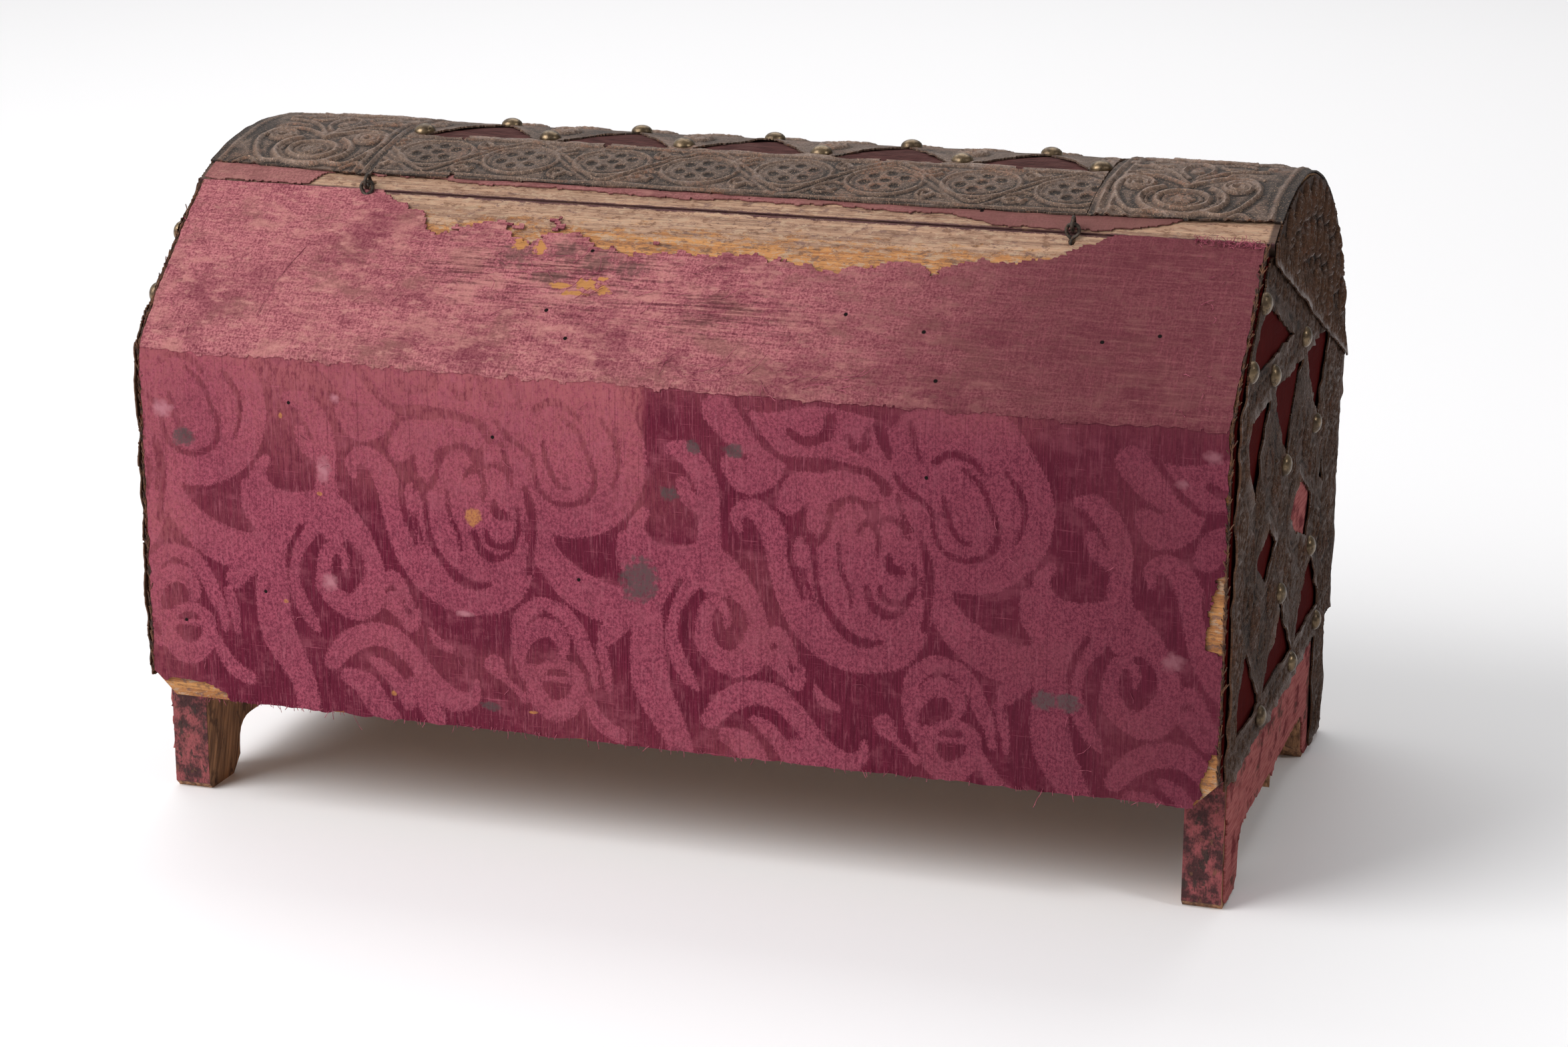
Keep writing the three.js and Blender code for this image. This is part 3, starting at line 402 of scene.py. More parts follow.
def surface(tree, shader, colour, roughness, height=None, depth=0.0, specular=None, metallic=None):
    # depth is the height of the bumps in mm
    normal = None if height is None else bumped(tree, height, depth)
    fill(tree, shader, {
        "Base Color": colour,
        "Roughness": roughness,
        "Normal": normal,
        "Specular IOR Level": specular,
        "Metallic": metallic,
    })


def spots(tree, vector, places, ragged=0.0, soft=0.2):
    # the union of several spots, each with its middle and half sizes in mm
    total = None
    for a, b, sizeA, sizeB in places:
        spot = {"Vector": vector, "Centre": (a, b, 0.0), "Size": (sizeA, sizeB, 1.0),
                "Ragged": ragged, "Soft": soft}
        mask = use(tree, groups["spot"], **spot)["Mask"]
        total = mask if total is None else calc(tree, "MAXIMUM", total, mask)
    return total


def wormed(tree, vector, colour, places, radius):
    # the flight holes of woodworm
    holes = spots(tree, vector, [(a, b, radius, radius) for a, b in places], 0.3, 0.3)
    return mixed(tree, holes, colour, paint(16, 8, 8))


# Cloths

damaskLook = {
    "ground": (paint(78, 12, 34), paint(104, 27, 50)),
    "figure": (paint(104, 38, 57), paint(155, 73, 91)),
    "faded": paint(160, 88, 92),
    "snag": paint(172, 88, 106),
    "grey": paint(78, 66, 66),
    "bare": paint(176, 118, 68),
    "pale": paint(170, 110, 120),
    "soilAndShade": paint(66, 18, 32),
    "pitch": 0.42,
    "slub": 16.0,
    "patches": [
        ((38, 30, 1), 3.0, 0.6, 4.0, 0.35, 0.72, 0.22, paint(96, 34, 52)),
        ((11, 8, 1), 5.0, 0.7, 44.0, 0.5, 0.7, 0.4, paint(150, 78, 92)),
        ((0.55, 34, 1), 2.0, 0.5, 9.0, 0.6, 0.72, 0.4, paint(78, 18, 38)),  # split warps
        ((0.8, 9, 1), 4.0, 0.75, 61.0, 0.52, 0.68, 0.32, paint(172, 98, 112)),  # broken warps
        ((14, 0.5, 1), 3.0, 0.6, 27.0, 0.64, 0.72, 0.45, paint(172, 88, 106)),  # loose wefts
    ],
    "wormHoles": [(-62, 151.5), (-30, 102), (-153, 86), (-141, 158), (-186, 72), (97, 150)],
    "greyStains": [(-7, 104, 8, 9), (13, 154, 3, 3), (28, 154, 4, 3), (4, 136.5, 4, 3), (148, 75, 5, 4),
                   (-65, 51, 4, 2), (140, 75, 5, 4), (-184, 142, 5, 4)],
    "bareSpots": [(-70, 121.5, 3.4, 3.6), (-103, 52, 1.4, 1.2), (-144.5, 153, 0.8, 1.2),
                  (-130, 125, 1.2, 0.8), (-145, 83, 1, 0.8), (-48, 50.5, 2, 0.6)],
    "paleSpots": [(-123, 161, 2.2, 2), (-128, 134, 3.2, 6), (-127, 92, 4, 4), (-192, 152, 5, 4),
                  (185, 155, 3, 2), (184, 93, 5, 4), (-74, 85, 4, 1.6), (195, 165, 4, 3)],
}


def makeDamask():
    look = damaskLook
    made, tree, shader = newMaterial("damask")
    vector = flatVector(tree)
    thread = use(tree, groups["threads"], Vector=vector, Pitch=look["pitch"], Slub=look["slub"])
    jag = swing(tree, lumps(tree, vector, (0.8, 1.3, 1), 4.0, 0.7), 4.4)
    mask = between(tree, plus(tree, ownValue(tree, "figure"), jag), -0.3, 0.4)
    speck = lumps(tree, vector, (0.75, 0.95, 1), 3.0, 0.75, 14.0)
    ground = mixed(tree, between(tree, thread["Warp"], 0.35, 0.68), *look["ground"])
    raised = mixed(tree, between(tree, speck, 0.36, 0.62), *look["figure"])
    cloth = mixed(tree, mask, ground, raised)
    wornEdge = between(tree, lumps(tree, vector, (1.4, 3.2, 1), 5.0, 0.75, 18.0), 0.36, 0.58, 0.3, 1.0)
    cloth = mixed(tree, times(tree, ownValue(tree, "worn"), wornEdge), cloth, look["faded"])
    cloth = patched(tree, vector, cloth, look["patches"])
    cloth = covered(tree, cloth, (speck, 0.58, 0.72, 0.22, look["snag"]))
    cloth = mixed(tree, spots(tree, vector, look["paleSpots"], 1.4, 0.8), cloth, look["pale"])
    # painted shade: darker towards +u, the end farther from the key lamp
    cloth = covered(tree, cloth, (axisOf(tree, vector, "X"), -5.0, 190.0, 0.54, look["soilAndShade"]))
    mottle = between(tree, speck, 0.36, 0.58, 0.4, 0.9)
    grey = times(tree, spots(tree, vector, look["greyStains"], 1.6, 0.35), mottle)
    cloth = mixed(tree, grey, cloth, look["grey"])
    bare = times(tree, spots(tree, vector, look["bareSpots"], 1.2, 0.3), mottle)
    cloth = mixed(tree, bare, cloth, look["bare"])
    cloth = wormed(tree, vector, cloth, look["wormHoles"], 0.8)
    height = plus(tree, thread["Height"], times(tree, mask, 0.35))
    surface(tree, shader, cloth, 0.82, height, 0.16, specular=0.15)
    return made


wornLook = {
    "base": (paint(114, 52, 64), paint(184, 114, 118)),
    "deep": paint(98, 36, 52),
    "shade": paint(72, 30, 38),
    "soilAndShade": paint(84, 36, 44),
    "thin": paint(182, 124, 118),
    "rubbed": paint(192, 136, 128),
    "lint": paint(168, 92, 104),
    "dust": paint(122, 88, 78),
    "brown": paint(92, 66, 62),
    "wood": paint(178, 124, 74),
    "pitch": 0.5,
    "slub": 9.0,
    "patches": [
        ((34, 22, 1), 5.0, 0.65, 2.0, 0.46, 0.66, 0.6, paint(98, 36, 52)),
        ((24, 14, 1), 5.0, 0.7, 8.0, 0.5, 0.68, 0.65, paint(132, 88, 82)),
        ((15, 9, 1), 5.0, 0.7, 21.0, 0.5, 0.68, 0.7, paint(182, 124, 118)),
    ],
    "wormHoles": [(-48, 26), (-38, 53), (28, 54), (61, 33), (90, 28), (98, 9), (-38, 15), (152, 29),
                  (171, 33)],
    "woodSpots": [(-46, 37, 4, 1.6), (-36, 38, 4, 2.6), (-29, 36, 3, 2), (-40, 34, 5, 1.2), (-31, 41, 2, 1),
                  (-66, 54, 3, 2.6), (-58, 53, 2.4, 3.4)],
    "brownSpots": [(-66, 49, 9, 7), (-48, 52, 8, 6), (-34, 48, 9, 7), (-22, 46, 9, 5), (-50, 40, 9, 5)],
    "threadbare": [(-46, 44, 64, 26), (10, 30, 50, 14), (-80, 40, 26, 12)],
}


def makeWornCloth(name, dust):
    look = wornLook
    made, tree, shader = newMaterial(name)
    vector = flatVector(tree)
    thread = use(tree, groups["threads"], Vector=vector, Pitch=look["pitch"], Slub=look["slub"])
    speck = lumps(tree, vector, (0.9, 0.8, 1), 4.0, 0.7, 3.0)
    weave = plus(tree, times(tree, thread["Height"], 0.35), times(tree, speck, 0.65))
    cloth = mixed(tree, between(tree, weave, 0.38, 0.62), *look["base"])
    cloth = patched(tree, vector, cloth, look["patches"])
    rubbed = lumps(tree, vector, (6, 2.4, 1), 5.0, 0.75, 33.0)
    # painted shade: darker towards +u, farther from the key lamp, with a ragged edge
    shadeRamp = plus(tree, axisOf(tree, vector, "X"), swing(tree, rubbed, 160.0))
    cloth = covered(tree, cloth, (rubbed, 0.54, 0.66, 0.55, look["rubbed"]),
                    (rubbed, 0.44, 0.34, 0.5, look["deep"]),
                    (shadeRamp, 10.0, 150.0, 0.8, look["soilAndShade"]))
    streak = lumps(tree, vector, (26, 1.1, 1), 4.0, 0.6, 5.0)
    bare = plus(tree, 0.1, times(tree, spots(tree, vector, look["threadbare"], 3.0, 0.9), 0.8))
    torn = times(tree, between(tree, streak, 0.53, 0.6), bare)
    cloth = mixed(tree, times(tree, torn, 0.7), cloth, look["shade"])
    light = times(tree, between(tree, streak, 0.47, 0.38), bare)
    cloth = mixed(tree, times(tree, light, 0.75), cloth, look["thin"])
    upright = lumps(tree, vector, (0.9, 9, 1), 5.0, 0.75, 51.0)
    cloth = covered(tree, cloth, (upright, 0.5, 0.7, 0.16, look["lint"]))
    cloth = mixed(tree, dust, cloth, look["dust"])
    brown = spots(tree, vector, look["brownSpots"], 2.6, 0.8)
    cloth = mixed(tree, times(tree, brown, 0.7), cloth, look["brown"])
    cloth = mixed(tree, spots(tree, vector, look["woodSpots"], 2.6, 0.25), cloth, look["wood"])
    cloth = wormed(tree, vector, cloth, look["wormHoles"], 0.9)
    height = calc(tree, "SUBTRACT", weave, times(tree, torn, 0.8))
    surface(tree, shader, cloth, 0.88, height, 0.34, specular=0.12)
    return made


endClothLook = {
    "pile": (paint(36, 4, 5), paint(88, 18, 15)),
    "faded": (paint(136, 68, 68), paint(176, 108, 104)),
    "patch": paint(92, 34, 40),
    "soilAndShade": ((22, 12, 1), 4.0, 0.7, 6.0, 0.56, 0.68, 0.85, paint(74, 56, 50)),
    "sheetFoot": (50.0, 56.0),  # height from which the cloth kept its pile
    "fadedSpot": (27, 111, 26, 22),  # behind the tear of the sheet
}


def makeEndCloth():
    # dark velvet behind the pierced sheet, faded pink below it
    look = endClothLook
    made, tree, shader = newMaterial("end_cloth")
    vector = flatVector(tree)
    thread = use(tree, groups["threads"], Vector=vector, Pitch=0.6, Slub=9.0)
    pile = mixed(tree, thread["Warp"], *look["pile"])
    patch = lumps(tree, vector, (14, 9, 1), 4.0, 0.6, 1.0)
    faded = mixed(tree, between(tree, thread["Weft"], 0.2, 0.8), *look["faded"])
    faded = covered(tree, faded, (patch, 0.52, 0.66, 0.8, look["patch"]))
    faded = patched(tree, vector, faded, [look["soilAndShade"]])
    edge = plus(tree, axisOf(tree, vector, "Y"), swing(tree, patch, 12.0))
    kept = between(tree, edge, *look["sheetFoot"])
    kept = calc(tree, "SUBTRACT", kept, spots(tree, vector, [look["fadedSpot"]]))
    cloth = mixed(tree, put(tree, "Clamp", [kept]).outputs[0], faded, pile)
    surface(tree, shader, cloth, 0.95, plus(tree, thread["Height"], patch), 0.35, specular=0.03)
    return made


def makeVelvet():
    made, tree, shader = newMaterial("velvet")
    vector = flatVector(tree)
    thread = use(tree, groups["threads"], Vector=vector, Pitch=0.7, Slub=6.0)
    worn = ((12, 8, 1), 4.0, 0.6, 3.0, 0.5, 0.75, 0.5, paint(98, 70, 65))
    pile = mixed(tree, between(tree, thread["Weft"], 0.3, 0.7), paint(50, 26, 25), paint(88, 54, 51))
    pile = patched(tree, vector, pile, [worn])
    surface(tree, shader, pile, 0.92, thread["Height"], 0.4, specular=0.1)
    return made


def makeThread(name, light, dark):
    made, tree, shader = newMaterial(name)
    shade = lumps(tree, objectVector(tree), (3, 3, 3), 2.0)
    surface(tree, shader, mixed(tree, between(tree, shade, 0.35, 0.65), dark, light), 0.85)
    return made


# Wood, sheet and metal

def makeInnerWood():
    made, tree, shader = newMaterial("inner_wood")
    vector = objectVector(tree)
    grain = use(tree, groups["grain"], Vector=vector, Width=2.6, Length=70.0)
    colour = mixed(tree, between(tree, grain["Grain"], 0.3, 0.7), paint(138, 96, 60), paint(176, 132, 88))
    colour = mixed(tree, times(tree, grain["Pores"], 0.5), colour, paint(70, 44, 26))
    stain = ((18, 9, 9), 4.0, 0.65, 5.0, 0.48, 0.62, 0.5, paint(110, 74, 48))
    colour = patched(tree, vector, colour, [stain])
    surface(tree, shader, colour, 0.75, grain["Height"], 0.35)
    return made


footLook = {
    "wood": (paint(104, 70, 48), paint(190, 138, 98)),
    "pores": paint(48, 30, 22),
    "soilAndShade": ((9, 9, 14), 4.0, 0.7, 3.0, 0.52, 0.64, 0.7, paint(62, 40, 30)),
    "cloth": (paint(60, 22, 24), paint(144, 70, 72)),
    "worn": paint(46, 32, 26),
    "bare": paint(104, 68, 46),
    "innerSide": innerDepth + shiftY,  # the feet's wood shows in front of it
}


def makeFootWood():
    # brown wood, with the mottled remains of red cloth on the outer faces
    look = footLook
    made, tree, shader = newMaterial("foot_wood")
    vector = objectVector(tree)
    grain = use(tree, groups["grain"], Vector=objectVector(tree, (0, quarter, 0.3)), Width=2.4, Length=40.0)
    wood = mixed(tree, between(tree, grain["Grain"], 0.32, 0.68), *look["wood"])
    wood = mixed(tree, times(tree, grain["Pores"], 0.6), wood, look["pores"])
    wood = patched(tree, vector, wood, [look["soilAndShade"]])
    patch = lumps(tree, vector, (6, 6, 7), 5.0, 0.7, 11.0)
    cloth = mixed(tree, between(tree, patch, 0.4, 0.6), *look["cloth"])
    bits = lumps(tree, vector, (3.5, 3.5, 6), 4.0, 0.7, 17.0)
    cloth = covered(tree, cloth, (bits, 0.54, 0.62, 0.85, look["worn"]),
                    (bits, 0.4, 0.34, 0.7, look["bare"]))
    rear = between(tree, axisOf(tree, vector, "Y"), look["innerSide"] - 0.5, look["innerSide"] - 0.2)
    colour = mixed(tree, rear, wood, cloth)
    surface(tree, shader, colour, 0.8, plus(tree, grain["Height"], patch), 0.5)
    return made


bareLook = {
    "orange": (paint(150, 92, 48), paint(196, 138, 80)),
    "cream": (paint(138, 104, 84), paint(184, 146, 118)),
    "creamFrom": (216.0, 220.5),  # height where orange gives way to cream
    "grime": ((5, 2.4, 2.4), 5.0, 0.75, 7.0, 0.56, 0.61, 0.75, paint(110, 80, 72)),
    "ground": paint(176, 146, 120),
    "glue": paint(112, 76, 54),
    "arris": (199.6, 200.8, 0.85, paint(58, 38, 30)),
    "stain": paint(66, 20, 30),  # red left in the crack
    "stainSlope": 0.9,
    "stainReach": (1.1, 0.5),
}


def makeBareWood():
    # pale wood with the remains of glue and ground, more orange lower down
    look = bareLook
    made, tree, shader = newMaterial("bare_wood")
    vector = objectVector(tree)
    grain = use(tree, groups["grain"], Vector=vector, Width=1.8, Length=60.0)
    orange = mixed(tree, between(tree, grain["Grain"], 0.3, 0.7), *look["orange"])
    cream = mixed(tree, between(tree, grain["Grain"], 0.3, 0.7), *look["cream"])
    level = axisOf(tree, vector, "Z")
    flakes = lumps(tree, vector, (9, 3.2, 3.2), 5.0, 0.7, 1.0)
    share = between(tree, plus(tree, level, swing(tree, flakes, 26.0)), *look["creamFrom"])
    colour = patched(tree, vector, mixed(tree, share, orange, cream), [look["grime"]])
    flake = lumps(tree, vector, (4.5, 2.6, 2.2), 5.0, 0.75, 30.0)
    outward = calc(tree, "ABSOLUTE", axisOf(tree, vector, "X"))
    colour = covered(tree, colour, (flake, 0.54, 0.58, 0.75, look["ground"]),
                     (flake, 0.45, 0.38, 0.75, look["glue"]),
                     (outward, *look["arris"]))
    offCrack = calc(tree, "SUBTRACT", axisOf(tree, vector, "Y"), hingeY)
    offCrack = plus(tree, times(tree, offCrack, look["stainSlope"]), swing(tree, flake, 2.6))
    upper = between(tree, level, hingeHeight - 5.0, hingeHeight - 4.0)
    stain = times(tree, between(tree, calc(tree, "ABSOLUTE", offCrack), *look["stainReach"]), upper)
    colour = mixed(tree, times(tree, stain, 0.9), colour, look["stain"])
    height = plus(tree, grain["Height"], times(tree, share, 0.8))
    surface(tree, shader, colour, 0.8, plus(tree, height, times(tree, flake, 1.4)), 0.4)
    return made


sheetLook = {
    "low": paint(62, 51, 44),
    "high": paint(122, 105, 92),
    "rust": paint(118, 80, 56),
    "cold": paint(92, 90, 92),
    "dust": paint(170, 150, 128),
    "dark": paint(28, 22, 19),
}


def makeEmbossed(name, shadeTint, metallic, specular):
    # the given tint scales the whole sheet's colours; for the upright sides it is painted shade: a darker
    # copy of the lid's sheet, as they get less light
    look = {key: tuple(c * t for c, t in zip(colour, shadeTint)) + (1.0,) for key, colour in sheetLook.items()}
    made, tree, shader = newMaterial(name)
    vector = flatVector(tree)
    relief = ownValue(tree, "relief")
    fine = lumps(tree, vector, (0.9, 0.9, 1), 3.0, 0.7, 1.0)
    broad = lumps(tree, vector, (16, 12, 1), 4.0, 0.65, 6.0)
    # colour follows the relief: crests lighter, partly wear and partly painted highlight
    level = plus(tree, times(tree, relief, 0.65), swing(tree, fine, 1.7))
    colour = mixed(tree, between(tree, level, -0.5, 1.2), look["low"], look["high"])
    colour = patched(tree, vector, colour, [((9, 7, 1), 4.0, 0.65, 15.0, 0.54, 0.68, 0.3, look["cold"])])
    rust = times(tree, between(tree, broad, 0.48, 0.66), between(tree, fine, 0.42, 0.62))
    colour = mixed(tree, times(tree, rust, 0.6), colour, look["rust"])
    colour = patched(tree, vector, colour, [((5, 5, 1), 4.0, 0.7, 12.0, 0.58, 0.72, 0.5, look["dark"])])
    # painted shade: darker where the sheet lies low, in the grooves beside the ridges and in dents
    colour = covered(tree, colour, (relief, 0.02, -0.28, 0.85, look["dark"]))
    colour = patched(tree, vector, colour, [((0.5, 0.5, 1), 2.0, 0.6, 19.0, 0.58, 0.68, 0.5, look["dust"])])
    roughness = between(tree, level, -0.3, 0.9, 0.7, 0.3)
    pits = lumps(tree, vector, (1.3, 1.3, 1), 3.0, 0.6, 3.0)
    height = plus(tree, pits, times(tree, fine, 0.6))
    surface(tree, shader, colour, roughness, height, 0.32, specular, metallic)
    return made


def makeMetal(name, light, dark, spot, metallic, roughness, size=1.6):
    made, tree, shader = newMaterial(name)
    vector = objectVector(tree)
    tarnish = lumps(tree, vector, (size, size, size), 4.0, 0.65, 2.0)
    colour = mixed(tree, between(tree, tarnish, 0.35, 0.65), dark, light)
    pits = lumps(tree, vector, (size / 2, size / 2, size / 2), 3.0, 0.7, 8.0)
    colour = covered(tree, colour, (pits, 0.56, 0.68, 0.8, spot))
    gloss = between(tree, tarnish, 0.3, 0.7, roughness + 0.15, roughness)
    surface(tree, shader, colour, gloss, pits, 0.12, metallic=metallic)
    return made


materials = {
    "damask": makeDamask(),
    "wornCloth": makeWornCloth("worn_cloth", 0.0),
    "dustyCloth": makeWornCloth("dusty_cloth", 0.5),
    "endCloth": makeEndCloth(),
    "velvet": makeVelvet(),
    "thread": makeThread("thread", paint(168, 84, 102), paint(112, 34, 56)),
    "fibre": makeThread("fibre", paint(104, 66, 42), paint(54, 34, 26)),
    "bareWood": makeBareWood(),
    "innerWood": makeInnerWood(),
    "footWood": makeFootWood(),
    "lidSheet": makeEmbossed("lid_sheet", (1.1, 0.95, 0.89), 0.2, 0.35),
    # painted shade: the ends, the lid's ends and the front get a darker copy of the lid's sheet
    "shadedSideSheet": makeEmbossed("side_sheet_painted_shade", (0.5, 0.35, 0.28), 0.05, 0.07),
    "brass": makeMetal("brass", paint(130, 110, 84), paint(80, 65, 50), paint(48, 39, 31), 0.75, 0.28, 3.2),
    "iron": makeMetal("iron", paint(84, 74, 66), paint(46, 40, 36), paint(96, 58, 36), 0.7, 0.55),
}
print("materials made")


# Mesh work

def deselectAll():
    for piece in bpy.context.scene.objects:
        piece.select_set(False)


def activate(piece):
    deselectAll()
    piece.select_set(True)
    bpy.context.view_layer.objects.active = piece


def pointsOf(piece):
    points = np.empty(len(piece.data.vertices) * 3)
    piece.data.vertices.foreach_get("co", points)
    return points.reshape(-1, 3)


def movePoints(piece, points):
    piece.data.vertices.foreach_set("co", points.ravel())
    piece.data.update()


def giveValue(piece, name, values, kind="FLOAT"):
    held = piece.data.attributes.new(name, kind, "POINT")
    field = "vector" if kind == "FLOAT_VECTOR" else "value"
    held.data.foreach_set(field, np.ravel(values).astype(np.float32))


def applyModifier(piece, kind, **settings):
    activate(piece)
    made = piece.modifiers.new(kind.lower(), kind)
    for key, value in settings.items():
        setattr(made, key, value)
    bpy.ops.object.modifier_apply(modifier=made.name)


def selectFaces(piece, chosen):
    activate(piece)
    for parts in (piece.data.vertices, piece.data.edges):
        parts.foreach_set("select", np.zeros(len(parts), bool))
    piece.data.polygons.foreach_set("select", chosen)
    bpy.context.tool_settings.mesh_select_mode = (False, False, True)


def editFaces(piece, *steps):
    # operators on the chosen faces in edit mode, each with its settings
    activate(piece)
    bpy.ops.object.mode_set(mode="EDIT")
    for operator, settings in steps:
        operator(**settings)
    bpy.ops.object.mode_set(mode="OBJECT")


def paintPiece(piece, material):
    piece.data.materials.clear()
    piece.data.materials.append(material)


def shadePiece(piece, material):
    activate(piece)
    bpy.ops.object.shade_smooth_by_angle(angle=math.radians(smoothAngle))
    paintPiece(piece, material)


def enter(piece, body, replaced=()):
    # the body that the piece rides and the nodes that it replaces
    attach(piece, body)
    if replaced:
        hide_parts(*replaced)


def flatGrid(name, spanA, spanB, cell):
    # a grid in its flat coordinates, in mm
    deselectAll()
    countA = round((spanA[1] - spanA[0]) / cell)
    countB = round((spanB[1] - spanB[0]) / cell)
    bpy.ops.mesh.primitive_grid_add(x_subdivisions=countA, y_subdivisions=countB, size=1)
    piece = bpy.context.object
    piece.name = name
    piece.data.name = name
    points = pointsOf(piece)
    for axis, span in enumerate((spanA, spanB)):
        points[:, axis] = span[0] + (points[:, axis] + 0.5) * (span[1] - span[0])
    movePoints(piece, points)
    return piece


def trimGrid(piece, outline, cell):
    # points next to the outline move onto it, and faces outside it go
    points = pointsOf(piece)
    a, b = points[:, 0].copy(), points[:, 1].copy()
    near = np.abs(outline(a, b)) < cell * 0.55
    step = cell / 4
    for _ in range(2):
        na, nb = a[near], b[near]
        slopeA = (outline(na + step, nb) - outline(na - step, nb)) / (2 * step)
        slopeB = (outline(na, nb + step) - outline(na, nb - step)) / (2 * step)
        steep = np.maximum(slopeA**2 + slopeB**2, 0.25)
        level = outline(na, nb)
        a[near] = na - level * slopeA / steep
        b[near] = nb - level * slopeB / steep
    points[:, 0], points[:, 1] = a, b
    movePoints(piece, points)
    corners = np.empty(len(piece.data.loops), np.int32)
    piece.data.loops.foreach_get("vertex_index", corners)
    corners = corners.reshape(-1, 4)
    selectFaces(piece, outline(a[corners].mean(axis=1), b[corners].mean(axis=1)) < 0)
    editFaces(piece, (bpy.ops.mesh.delete, {"type": "FACE"}))


def makeSheet(name, spanA, spanB, cell, place, layer, material,
              outline=None, relief=None, values=None, flip=False):
    # a thin sheet in a layer off the wood, given by its back and its top, plus its relief
    back, top = layer
    piece = flatGrid(name, spanA, spanB, cell)
    if outline:
        trimGrid(piece, outline, cell)
    flat = pointsOf(piece)
    a, b = flat[:, 0], flat[:, 1]
    height = relief(a, b) if relief else np.zeros(len(a))
    giveValue(piece, "flat", flat, "FLOAT_VECTOR")
    giveValue(piece, "relief", height)
    for key, field in (values or {}).items():
        giveValue(piece, key, field(a, b))
    movePoints(piece, place(a, b, top + height))
    if flip:
        editFaces(piece, (bpy.ops.mesh.select_all, {"action": "SELECT"}), (bpy.ops.mesh.flip_normals, {}))
    applyModifier(piece, "SOLIDIFY", thickness=(top - back) * mm, offset=-1.0)
    shadePiece(piece, material)
    return piece


def wireOf(name, paths, radius, resolution, material):
    # round wires along paths, each a list of points of the frame
    data = bpy.data.curves.new(name, "CURVE")
    data.dimensions = "3D"
    data.bevel_depth = radius * mm
    data.bevel_resolution = resolution
    data.use_fill_caps = True
    data.materials.append(material)
    for path in paths:
        line = data.splines.new("POLY")
        line.points.add(len(path) - 1)
        line.points.foreach_set("co", np.column_stack([path, np.ones(len(path))]).ravel())
    wire = bpy.data.objects.new(name, data)
    bpy.context.scene.collection.objects.link(wire)
    activate(wire)
    bpy.ops.object.convert(target="MESH")
    return bpy.context.object


def noiseField(a, b, sizeA, sizeB, seed):
    # smooth lumps from -1 to 1, of a size in mm
    table = np.random.default_rng(seed).uniform(-1, 1, (noiseRepeat, noiseRepeat))
    x, y = a / sizeA + 500, b / sizeB + 500
    i, j = np.floor(x).astype(int), np.floor(y).astype(int)
    s, t = x - i, y - j
    s, t = s * s * (3 - 2 * s), t * t * (3 - 2 * t)
    i0, j0, i1, j1 = (index % noiseRepeat for index in (i, j, i + 1, j + 1))
    low = table[i0, j0] * (1 - s) + table[i1, j0] * s
    high = table[i0, j1] * (1 - s) + table[i1, j1] * s
    return low * (1 - t) + high * t


def ragged(a, b, size, seed):
    return noiseField(a, b, size, size, seed) * 0.6 + noiseField(a, b, size / 2.7, size / 2.7, seed + 1) * 0.4


def insideOf(a, b, corners):
    # distance to the edge of an outline, positive inside it
    distance = np.full(np.shape(a), 1e9)
    inside = np.zeros(np.shape(a), bool)
    for (a0, b0), (a1, b1) in zip(corners, corners[1:] + corners[:1]):
        da, db = a1 - a0, b1 - b0
        if da == 0 and db == 0:
            continue
        share = np.clip(((a - a0) * da + (b - b0) * db) / (da * da + db * db), 0, 1)
        distance = np.minimum(distance, np.hypot(a - a0 - share * da, b - b0 - share * db))
        if db != 0:
            inside ^= ((b0 > b) != (b1 > b)) & (a < a0 + (b - b0) * da / db)
    return np.where(inside, distance, -distance)


def curve(points, step=0.5):
    # a smooth line through points, whose columns may hold a width as well
    points = np.array(points, float)
    padded = np.vstack([2 * points[0] - points[1], points, 2 * points[-1] - points[-2]])
    parts = []
    for p0, p1, p2, p3 in zip(padded, padded[1:], padded[2:], padded[3:]):
        count = max(2, int(np.hypot(*(p2 - p1)[:2]) / step))
        t = np.linspace(0, 1, count, endpoint=False)[:, None]
        parts.append(
            0.5 * (2 * p1 + (p2 - p0) * t + (2 * p0 - 5 * p1 + 4 * p2 - p3) * t**2
                   + (3 * p1 - p0 - 3 * p2 + p3) * t**3)
        )
    return np.vstack(parts + [points[-1:]])


def arc(middle, radiusA, radiusB, start, end, tilt=0.0, step=0.5):
    # part of an ellipse, with its angles in degrees
    count = max(4, int(abs(math.radians(end - start)) * max(radiusA, radiusB) / step))
    angle = np.radians(np.linspace(start, end, count))
    x, y = np.cos(angle) * radiusA, np.sin(angle) * radiusB
    c, s = math.cos(math.radians(tilt)), math.sin(math.radians(tilt))
    return np.stack([middle[0] + x * c - y * s, middle[1] + x * s + y * c], axis=1)


def spiral(middle, outer, inner, start, turns, step=0.5):
    count = max(8, int(abs(turns) * 2 * math.pi * outer / step))
    share = np.linspace(0, 1, count)
    angle = math.radians(start) + share * turns * 2 * math.pi
    radius = outer + (inner - outer) * share
    return np.stack([middle[0] + np.cos(angle) * radius, middle[1] + np.sin(angle) * radius], axis=1)


def strokeField(a, b, strokes, far=-30.0):
    # distance inside the widest of several brush strokes, positive inside
    field = np.full(a.shape, far)
    margin = 3.0
    for stroke in strokes:
        path = curve(stroke)
        reach = path[:, 2].max() + margin
        low, high = path[:, :2].min(axis=0) - reach, path[:, :2].max(axis=0) + reach
        near = (a > low[0]) & (a < high[0]) & (b > low[1]) & (b < high[1])
        if near.any():
            distance = np.hypot(a[near, None] - path[:, 0], b[near, None] - path[:, 1])
            field[near] = np.maximum(field[near], (path[:, 2] - distance).max(axis=1))
    return field


